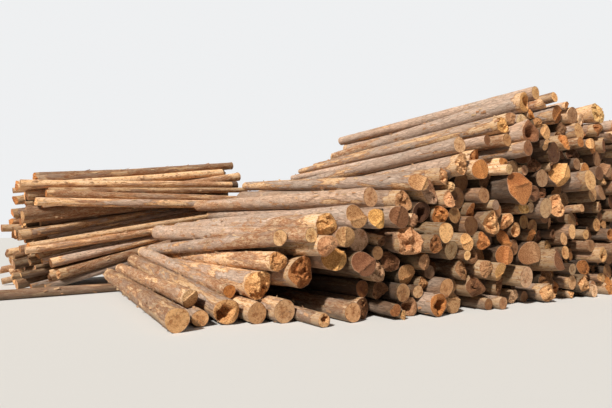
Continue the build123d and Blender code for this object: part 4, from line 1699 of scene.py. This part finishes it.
@dataclass(frozen=True)
class WoodFinish:
    """Cut and broken pine wood: rings round an orange heart, cracks, saw lines and torn fibres.

    The first group of fields holds colours. The second holds colours that darken or brighten the
    wood where it is multiplied by them. The third says how often a pattern repeats in a metre,
    across the log twice and then along it. Its last field stretches the drying cracks: round the
    pith, outwards, and from one end to the next.
    """

    rind: Rgb = (0.14, 0.070, 0.036)
    dirt: Rgb = (0.15, 0.088, 0.052)
    resin: Rgb = (0.68, 0.33, 0.10)

    heart: Rgb = (0.84, 0.70, 0.56)
    ring: Rgb = (0.70, 0.56, 0.42)
    smeared: Rgb = (0.60, 0.48, 0.38)
    clean: Rgb = (1.12, 1.16, 1.25)
    weathered: Rgb = (0.56, 0.41, 0.31)
    bright_speck: Rgb = (1.16, 1.20, 1.30)
    fibre_gap_painted_shade: Rgb = (0.46, 0.30, 0.20)
    fibre_crest_painted_light: Rgb = (1.14, 1.18, 1.25)

    wobble_scale: Rgb = (14.0, 14.0, 14.0)
    patch_scale: Rgb = (12.0, 12.0, 12.0)
    smear_scale: Rgb = (26.0, 26.0, 26.0)
    speck_scale: Rgb = (60.0, 60.0, 60.0)
    fibre_scale: Rgb = (58.0, 58.0, 6.0)
    saw_scale: Rgb = (30.0, 260.0, 30.0)
    spoke_scale: Rgb = (1.5, 3.0, 37.0)

    ring_pitch: float = 0.0055
    relief_depth: float = 0.004
    roughness: float = 0.72

    def build(self, name: str) -> bpy.types.Material:
        """Build the wood material.

        Args:
            name: The material's name.

        Returns:
            The material.
        """
        material, desk, shader = new_material(name)
        place, face = desk.attribute("stem", "Vector"), desk.parts(desk.attribute("face", "Vector"))
        tint = desk.attribute("tint", "Color")
        strength, torn = desk.attribute("flake"), desk.attribute("torn")
        rim, heart = desk.attribute("rim"), desk.attribute("heart")
        wobble = desk.noise(place, self.wobble_scale, 2.0)
        squares = [desk.math("POWER", face[way], 2.0) for way in ("X", "Y")]
        reach = desk.math("SQRT", desk.math("ADD", *squares))
        reach = desk.math("ADD", reach, desk.math("MULTIPLY", wobble, 0.012))

        # Year rings and the darker heart
        ring = desk.math("SINE", desk.math("MULTIPLY", reach, FULL_TURN / self.ring_pitch))
        ring_depth = desk.math("MULTIPLY", desk.fit(ring, 0.0, 1.0), desk.flip(torn, 0.8))
        colour = desk.shade(desk.math("MULTIPLY", ring_depth, 0.42), tint, self.ring)
        heart_edge = desk.math("ADD", heart, desk.math("MULTIPLY_ADD", wobble, 0.3, -0.15))
        heart_strength = desk.fit(strength, 0.2, 0.9, 0.05, 0.7)
        core = desk.math("MULTIPLY", desk.fit(heart_edge, 0.44, 0.58, 1.0, 0.0), heart_strength)
        colour = desk.shade(core, colour, self.heart)

        # Dirt, resin and grey weather in patches
        patch = desk.noise(place, self.patch_scale, 5.0, 0.7)
        smear = desk.noise(place, self.smear_scale, 3.0, 0.6)
        speck = desk.noise(place, self.speck_scale, 4.0, 0.75)
        colour = desk.shade(desk.fit(smear, 0.48, 0.36, 0.0, 0.6), colour, self.smeared)
        colour = desk.blend(desk.fit(smear, 0.54, 0.66, 0.0, 0.5), colour, desk.times(tint, self.clean))
        colour = desk.shade(desk.fit(patch, 0.48, 0.64, 0.0, 0.95), colour, self.weathered)
        colour = desk.blend(desk.fit(patch, 0.30, 0.40, 0.4, 0.0), colour, self.resin)
        colour = desk.blend(desk.fit(speck, 0.53, 0.68, 0.0, 0.62), colour, self.dirt)
        bright = desk.times(tint, self.bright_speck)
        colour = desk.blend(desk.fit(speck, 0.46, 0.34, 0.0, 0.5), colour, bright)

        # Drying cracks that run out from the pith, different on each end
        angle = desk.math("ARCTAN2", face["Y"], face["X"])
        spoke = desk.stretch(desk.join(angle, reach, strength), self.spoke_scale)
        spokes = desk.noise(spoke, 1.2, 1.0)
        split = desk.math("ABSOLUTE", desk.math("SUBTRACT", spokes, 0.5))
        split = desk.math("MULTIPLY", desk.fit(split, 0.004, 0.018, 1.0, 0.0), desk.fit(heart, 0.92, 0.45))
        split = desk.math("MULTIPLY", split, desk.fit(strength, 0.25, 0.85, 0.08, 0.75))
        split = desk.math("MULTIPLY", split, desk.flip(torn, 0.7))
        colour = desk.blend(split, colour, self.dirt)

        # Torn fibres with painted shade in their gaps and painted light on their crests, following their
        # relief, and the edge of the bark round the end
        fibre = desk.noise(place, self.fibre_scale, 5.0, 0.7)
        gap, lit_crest = desk.times(tint, self.fibre_gap_painted_shade), desk.times(tint, self.fibre_crest_painted_light)
        ragged = desk.blend(desk.fit(fibre, 0.38, 0.60), gap, lit_crest)
        colour = desk.blend(desk.math("MULTIPLY", torn, 0.75), colour, ragged)
        colour = desk.blend(desk.fit(rim, 0.935, 0.985), colour, self.rind)

        # Saw lines on the cuts and coarse fibres on the breaks
        saw = desk.noise(place, self.saw_scale, 2.0)
        sawn = desk.math("ADD", desk.math("MULTIPLY", saw, 0.35), desk.math("MULTIPLY", ring_depth, 0.12))
        relief = desk.lerp(torn, sawn, desk.math("MULTIPLY", fibre, 4.5))
        relief = desk.math("SUBTRACT", relief, split)
        dress(desk, shader, colour, self.roughness, desk.bump(relief, self.relief_depth))
        return material


@dataclass(frozen=True)
class ChipFinish:
    """Small pieces on the logs: loose bark, branch stubs or splinters, each with its own tone.

    Attributes:
        first: One end of the range of colours.
        second: The other end of it.
        dark: Colour of the grain.
        wood_share: How far the pieces take the colour of the wood that they are set on.
        tone_scale: How fast the colour changes from piece to piece.
        grain_scale: How often the grain repeats in a metre.
        relief_depth: Height of the grain in metres.
        roughness: Roughness of the surface.
    """

    first: Rgb
    second: Rgb
    dark: Rgb
    wood_share: float = 0.0
    tone_scale: float = 170.0
    grain_scale: float = 160.0
    relief_depth: float = 0.002
    roughness: float = 0.85

    def build(self, name: str) -> bpy.types.Material:
        """Build the material of the small pieces.

        Args:
            name: The material's name.

        Returns:
            The material.
        """
        material, desk, shader = new_material(name)
        tone = desk.noise(desk.attribute("stem", "Vector"), self.tone_scale, 1.0)
        grain = desk.noise(desk.object_place(), self.grain_scale, 3.0, 0.65)
        colour = desk.blend(desk.fit(tone, 0.36, 0.64), self.first, self.second)
        if self.wood_share > 0.0:
            colour = desk.blend(self.wood_share, colour, desk.attribute("tint", "Color"))
        colour = desk.blend(desk.fit(grain, 0.48, 0.66, 0.0, 0.7), colour, self.dark)
        dress(desk, shader, colour, self.roughness, desk.bump(grain, self.relief_depth))
        return material


class ChipShape(Enum):
    """What a scatter tree sets on the logs."""

    FLAKE = "flake"
    STUB = "stub"
    SPLINTER = "splinter"


@dataclass
class ScatterTree:
    """A geometry node tree that sets small pieces on a carrier's faces.

    Attributes:
        shape: What is set there.
        density: Pieces to a square metre.
        length: Usual length of a piece in metres.
        width: Usual width of a piece in metres.
        sink: How far a piece is shifted off the surface, as a share of its length.
        seed: Fixed seed of the places and sizes.
        corners: Vertices round a stub or a splinter.
        tip_share: Width of its tip as a share of the usual width.
        sway: How far a piece turns from the way of its neighbours, in radians.
        smallest: Least size of a piece as a share of the usual one.
        largest: Largest size of a piece, along each of its own axes.
        flake_corners: Vertices along and across a flake of bark.
        curl_slope: How fast a flake rises along its length.
        curl_start: How far its middle stands off, as a share of its length.
        curl_bend: How sharply its sides bend down.
    """

    shape: ChipShape
    density: float
    length: float
    width: float
    sink: float
    seed: int
    corners: int = 4
    tip_share: float = 0.04
    sway: float = 0.28
    smallest: Rgb = (0.4, 0.4, 0.4)
    largest: Rgb = (1.5, 1.5, 1.3)
    flake_corners: tuple[int, int] = (4, 3)
    curl_slope: float = 0.22
    curl_start: float = 0.12
    curl_bend: float = -6.0

    def flake(self, desk: NodeDesk, length: Socket, width: Socket) -> Socket:
        """Make a flake of bark along X, its corners lifted more at one end.

        Args:
            desk: The desk of the tree.
            length: Its length.
            width: Its width.

        Returns:
            Its mesh.
        """
        columns, rows = self.flake_corners
        sizes = {"Vertices X": columns, "Vertices Y": rows, "Size X": length, "Size Y": width}
        grid = desk.add("GeometryNodeMeshGrid", sizes).outputs["Mesh"]
        place = desk.parts(desk.add("GeometryNodeInputPosition").outputs[0])
        along = desk.math("MULTIPLY_ADD", place["X"], self.curl_slope, self.curl_start * self.length)
        across = desk.math("MULTIPLY", place["Y"], place["Y"])
        lift = desk.join(0.0, 0.0, desk.math("MULTIPLY_ADD", across, self.curl_bend, along))
        return desk.add("GeometryNodeSetPosition", {"Geometry": grid, "Offset": lift}).outputs["Geometry"]

    def spike(self, desk: NodeDesk, length: Socket, width: Socket) -> Socket:
        """Make a branch stub or a splinter along Z.

        Args:
            desk: The desk of the tree.
            length: Its length.
            width: Its width.

        Returns:
            Its mesh.
        """
        tip = self.width * self.tip_share
        sizes = {"Vertices": self.corners, "Radius Top": tip, "Radius Bottom": width, "Depth": length}
        return desk.add("GeometryNodeMeshCone", sizes, fill_type="TRIANGLE_FAN").outputs["Mesh"]

    def random_vector(self, desk: NodeDesk, low: Rgb, high: Rgb, step: int) -> Socket:
        """Draw a vector for each piece, with a seed a step past the tree's own."""
        given = {"Min": low, "Max": high, "Seed": self.seed + step}
        return desk.add("FunctionNodeRandomValue", given, data_type="FLOAT_VECTOR").outputs["Value"]

    def turned(self, desk: NodeDesk, normal: Socket, grain: Socket) -> Socket:
        """Turn a piece: a splinter stands along the grain, all others off the surface.

        Args:
            desk: The desk of the tree.
            normal: The surface's normal.
            grain: The way of the grain.

        Returns:
            The piece's rotation.
        """
        upright, level = (grain, normal) if self.shape is ChipShape.SPLINTER else (normal, grain)
        align = "FunctionNodeAlignRotationToVector"
        stand = desk.add(align, {"Vector": upright}, axis="Z").outputs[0]
        turn = desk.add(align, {"Vector": level, "Rotation": stand}, axis="X", pivot_axis="Z").outputs[0]
        sway = self.random_vector(desk, (-self.sway,) * 3, (self.sway,) * 3, 1)
        tilt = desk.add("FunctionNodeEulerToRotation", {0: sway}).outputs[0]
        both = {"Rotation": turn, "Rotate By": tilt}
        return desk.add("FunctionNodeRotateRotation", both, rotation_space="LOCAL").outputs[0]

    def build(self) -> bpy.types.NodeTree:
        """Build the tree with its named inputs.

        Returns:
            The tree.
        """
        tree = bpy.data.node_groups.new(f"set {self.shape.value}s", "GeometryNodeTree")
        tree.interface.new_socket("Carrier", in_out="INPUT", socket_type="NodeSocketGeometry")
        for label in ("Density", "Length", "Width", "Sink"):
            tree.interface.new_socket(label, in_out="INPUT", socket_type="NodeSocketFloat")
        tree.interface.new_socket("Finish", in_out="INPUT", socket_type="NodeSocketMaterial")
        tree.interface.new_socket("Pieces", in_out="OUTPUT", socket_type="NodeSocketGeometry")
        desk = NodeDesk(tree)
        given = desk.add("NodeGroupInput").outputs

        # Points on the carrier's faces, sunk along the way in which the pieces stand
        faces = {"Mesh": given["Carrier"], "Density": given["Density"], "Seed": self.seed}
        spread = desk.add("GeometryNodeDistributePointsOnFaces", faces, distribute_method="RANDOM")
        normal = spread.outputs["Normal"]
        named = desk.add("GeometryNodeInputNamedAttribute", {"Name": "grain"}, data_type="FLOAT_VECTOR")
        grain = named.outputs["Attribute"]
        way = grain if self.shape is ChipShape.SPLINTER else normal
        depth = desk.add("ShaderNodeVectorMath", {0: way, "Scale": given["Sink"]}, operation="SCALE")
        sunk = {"Geometry": spread.outputs["Points"], "Offset": depth.outputs[0]}

        # One piece on each point, turned and sized at random
        make = self.flake if self.shape is ChipShape.FLAKE else self.spike
        each = {
            "Points": desk.add("GeometryNodeSetPosition", sunk).outputs["Geometry"],
            "Instance": make(desk, given["Length"], given["Width"]),
            "Rotation": self.turned(desk, normal, grain),
            "Scale": self.random_vector(desk, self.smallest, self.largest, 2),
        }
        pieces = desk.add("GeometryNodeInstanceOnPoints", each).outputs["Instances"]
        real = desk.add("GeometryNodeRealizeInstances", {"Geometry": pieces}).outputs["Geometry"]
        dressed = desk.add("GeometryNodeSetMaterial", {"Geometry": real, "Material": given["Finish"]})
        desk.add("NodeGroupOutput", {"Pieces": dressed.outputs["Geometry"]})
        return tree

    def grow(
        self, name: str, carrier: bpy.types.Object, finish: bpy.types.Material, room: Room
    ) -> bpy.types.Object:
        """Set the pieces on a carrier and give them as a plain mesh object.

        Args:
            name: Name of the new piece.
            carrier: The object whose faces carry them, removed afterwards.
            finish: Their material.
            room: Lowest and highest corner of the room that they have.

        Returns:
            The piece.
        """
        tree = self.build()
        modifier = carrier.modifiers.new("scatter", "NODES")
        modifier.node_group = tree
        values = {
            "Density": self.density,
            "Length": self.length,
            "Width": self.width,
            "Sink": self.sink * self.length,
            "Finish": finish,
        }
        for item in tree.interface.items_tree:
            if item.name in values:
                modifier[item.identifier] = values[item.name]
        graph = bpy.context.evaluated_depsgraph_get()
        mesh = bpy.data.meshes.new_from_object(carrier.evaluated_get(graph), depsgraph=graph)
        carrier.modifiers.remove(modifier)
        bpy.data.objects.remove(carrier)
        raw = np.empty(len(mesh.vertices) * 3, np.float32)
        mesh.vertices.foreach_get("co", raw)
        mesh.vertices.foreach_set("co", np.clip(raw.reshape(-1, 3), *room).astype(np.float32).ravel())
        mesh.name = name
        mesh.update()
        return placed(name, mesh)


LOOSE_BARK = ChipFinish(first=(0.40, 0.20, 0.10), second=(0.56, 0.38, 0.22), dark=(0.20, 0.09, 0.045))
BRANCH_STUB = ChipFinish(first=(0.30, 0.19, 0.11), second=(0.50, 0.34, 0.19), dark=(0.12, 0.075, 0.045))
SPLINTER = ChipFinish(
    first=(0.62, 0.36, 0.15), second=(0.48, 0.24, 0.09), dark=(0.30, 0.14, 0.05), wood_share=0.6
)

FLAKE_TREE = ScatterTree(
    ChipShape.FLAKE, density=13.0, length=0.085, width=0.030, sink=0.01, seed=SEED + 1
)
STUB_TREE = ScatterTree(
    ChipShape.STUB, density=2.2, length=0.044, width=0.012, sink=-0.25, seed=SEED + 2,
    corners=7, tip_share=0.32, sway=0.5,
)
SPLINTER_TREE = ScatterTree(
    ChipShape.SPLINTER, density=150.0, length=0.052, width=0.0075, sink=-0.45, seed=SEED + 3
)


@dataclass
class LogStack:
    """The whole stack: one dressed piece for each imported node, and the small pieces on them.

    Attributes:
        stems: The planned logs.
        room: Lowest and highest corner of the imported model.
        carriers: Faces that small pieces are set on.
    """

    stems: list[Stem]
    room: Room
    carriers: Carriers = field(default_factory=Carriers)

    def __post_init__(self) -> None:
        """Build the shared materials."""
        self.bark = BarkFinish().build("pine bark")
        self.wood = WoodFinish().build("pine wood")
        self.loose = LOOSE_BARK.build("loose bark")
        self.stub = BRANCH_STUB.build("branch stub")
        self.splinter = SPLINTER.build("splinter")

    def declare(self, piece: bpy.types.Object, node: str | None = None) -> None:
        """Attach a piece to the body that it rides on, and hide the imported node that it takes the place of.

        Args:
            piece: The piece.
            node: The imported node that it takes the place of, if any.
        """
        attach(piece, BODY)
        if node is not None:
            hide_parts(node)
        piece.data.calc_loop_triangles()
        LOG.info("%s: %d triangles", piece.name, len(piece.data.loop_triangles))

    def build_courses(self) -> None:
        """Build one piece for each node."""
        for node in sorted({stem.node for stem in self.stems}):
            store = MeshStore()
            for stem in self.stems:
                if stem.node == node:
                    StemBuilder(stem, store, self.carriers).build()
            piece = store.to_object(f"{node}_bark", [self.bark, self.wood], self.room)
            self.declare(piece, node)

    def build_small_pieces(self) -> None:
        """Set loose bark, branch stubs and splinters on the logs."""
        jobs = (
            ("loose_bark", self.carriers.flaky, self.loose, FLAKE_TREE),
            ("branch_stubs", self.carriers.trunks, self.stub, STUB_TREE),
            ("splinters", self.carriers.breaks, self.splinter, SPLINTER_TREE),
        )
        for name, store, finish, tree in jobs:
            carrier = store.to_object(f"{name}_carrier", [finish], self.room)
            self.declare(tree.grow(name, carrier, finish, self.room))


@dataclass
class Studio:
    """A plain pale floor, soft lights and the camera of the photograph.

    Attributes:
        camera: Where the photograph was taken from.
        place: The camera's place in metres.
        floor_half: Half the floor's width in metres.
        floor_colour: The floor's colour.
        floor_roughness: The floor's roughness.
        key_strength: Strength of the key light.
        key_colour: Its colour, a little warm.
        key_tilt: How far it leans from straight down, in degrees.
        key_turn: How far round it stands, in degrees.
        key_angle: How wide it is in the sky, in degrees.
        sky_strength: Strength of the sky as a light.
        sky_colour: Colour of the sky as a light.
        backdrop: Colour of the sky as it is seen.
        view_range: How far the camera sees, in metres.
    """

    camera: CameraSetup
    place: Vec
    floor_half: float = 90.0
    floor_colour: Rgb = (0.70, 0.69, 0.67)
    floor_roughness: float = 0.95
    key_strength: float = 5.0
    key_colour: Rgb = (1.0, 0.965, 0.91)
    key_tilt: float = 52.0
    key_turn: float = -61.0
    key_angle: float = 5.0
    sky_strength: float = 0.11
    sky_colour: Rgb = (0.97, 0.98, 1.0)
    backdrop: Rgb = (0.86, 0.87, 0.88)
    view_range: float = 300.0

    def build_floor(self) -> None:
        """Lay the floor, which isn't part of the object."""
        half = self.floor_half
        corners = [(-half, -half, 0.0), (half, -half, 0.0), (half, half, 0.0), (-half, half, 0.0)]
        mesh = bpy.data.meshes.new("floor")
        mesh.from_pydata(corners, [], [(0, 1, 2, 3)])
        material, _, shader = new_material("studio floor")
        shader.inputs["Base Color"].default_value = (*self.floor_colour, 1.0)
        shader.inputs["Roughness"].default_value = self.floor_roughness
        mesh.materials.append(material)
        placed("floor", mesh)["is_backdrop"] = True

    def build_lights(self) -> None:
        """Set one broad key light, and a pale world for the rest."""
        key = bpy.data.lights.new("key", "SUN")
        key.energy = self.key_strength
        key.angle = math.radians(self.key_angle)
        key.color = self.key_colour
        lamp = placed("key", key)
        lamp.rotation_euler = (math.radians(self.key_tilt), 0.0, math.radians(self.key_turn))
        world = bpy.data.worlds.new("studio")
        world.use_nodes = True
        world.node_tree.nodes.clear()
        desk = NodeDesk(world.node_tree)
        path = desk.add("ShaderNodeLightPath").outputs
        seen = desk.math("MAXIMUM", path["Is Camera Ray"], path["Is Glossy Ray"])
        colour = desk.blend(seen, self.sky_colour, self.backdrop)
        given = {"Color": colour, "Strength": desk.lerp(seen, self.sky_strength, 1.0)}
        desk.add("ShaderNodeOutputWorld", {0: desk.add("ShaderNodeBackground", given).outputs[0]})
        bpy.context.scene.world = world

    def build_camera(self) -> None:
        """Stand the camera where the photograph was taken."""
        setup = self.camera
        lens = bpy.data.cameras.new("photo camera")
        lens.sensor_width = setup.sensor_mm
        lens.lens = setup.sensor_mm * setup.focal_px / setup.image_width_px
        lens.clip_end = self.view_range
        view = placed("photo camera", lens)
        view.location = tuple(float(value) for value in self.place)
        tilt = math.radians(90.0 + setup.pitch_degrees)
        view.rotation_euler = (tilt, 0.0, math.radians(-setup.turn_degrees))
        bpy.context.scene.camera = view


def main() -> None:
    logging.basicConfig(level=logging.INFO)
    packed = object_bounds()
    stems = FrameReader(frame["nodes"]).read()
    LOG.info("%d logs read", len(stems))
    planner = StackPlanner(stems)
    planner.plan()
    shown, matched = sum(stem.shown for stem in stems), sum(stem.prominent for stem in stems)
    LOG.info("%d logs show their sides, %d ends follow the photograph", shown, matched)
    room = tuple(np.array([float(value) for value in corner]) for corner in packed)
    stack = LogStack(stems, room)
    stack.build_courses()
    stack.build_small_pieces()
    studio = Studio(planner.camera, planner.camera_place())
    studio.build_floor()
    studio.build_lights()
    studio.build_camera()
    bpy.context.scene.view_settings.view_transform = "Standard"


if __name__ == "__main__":
    main()
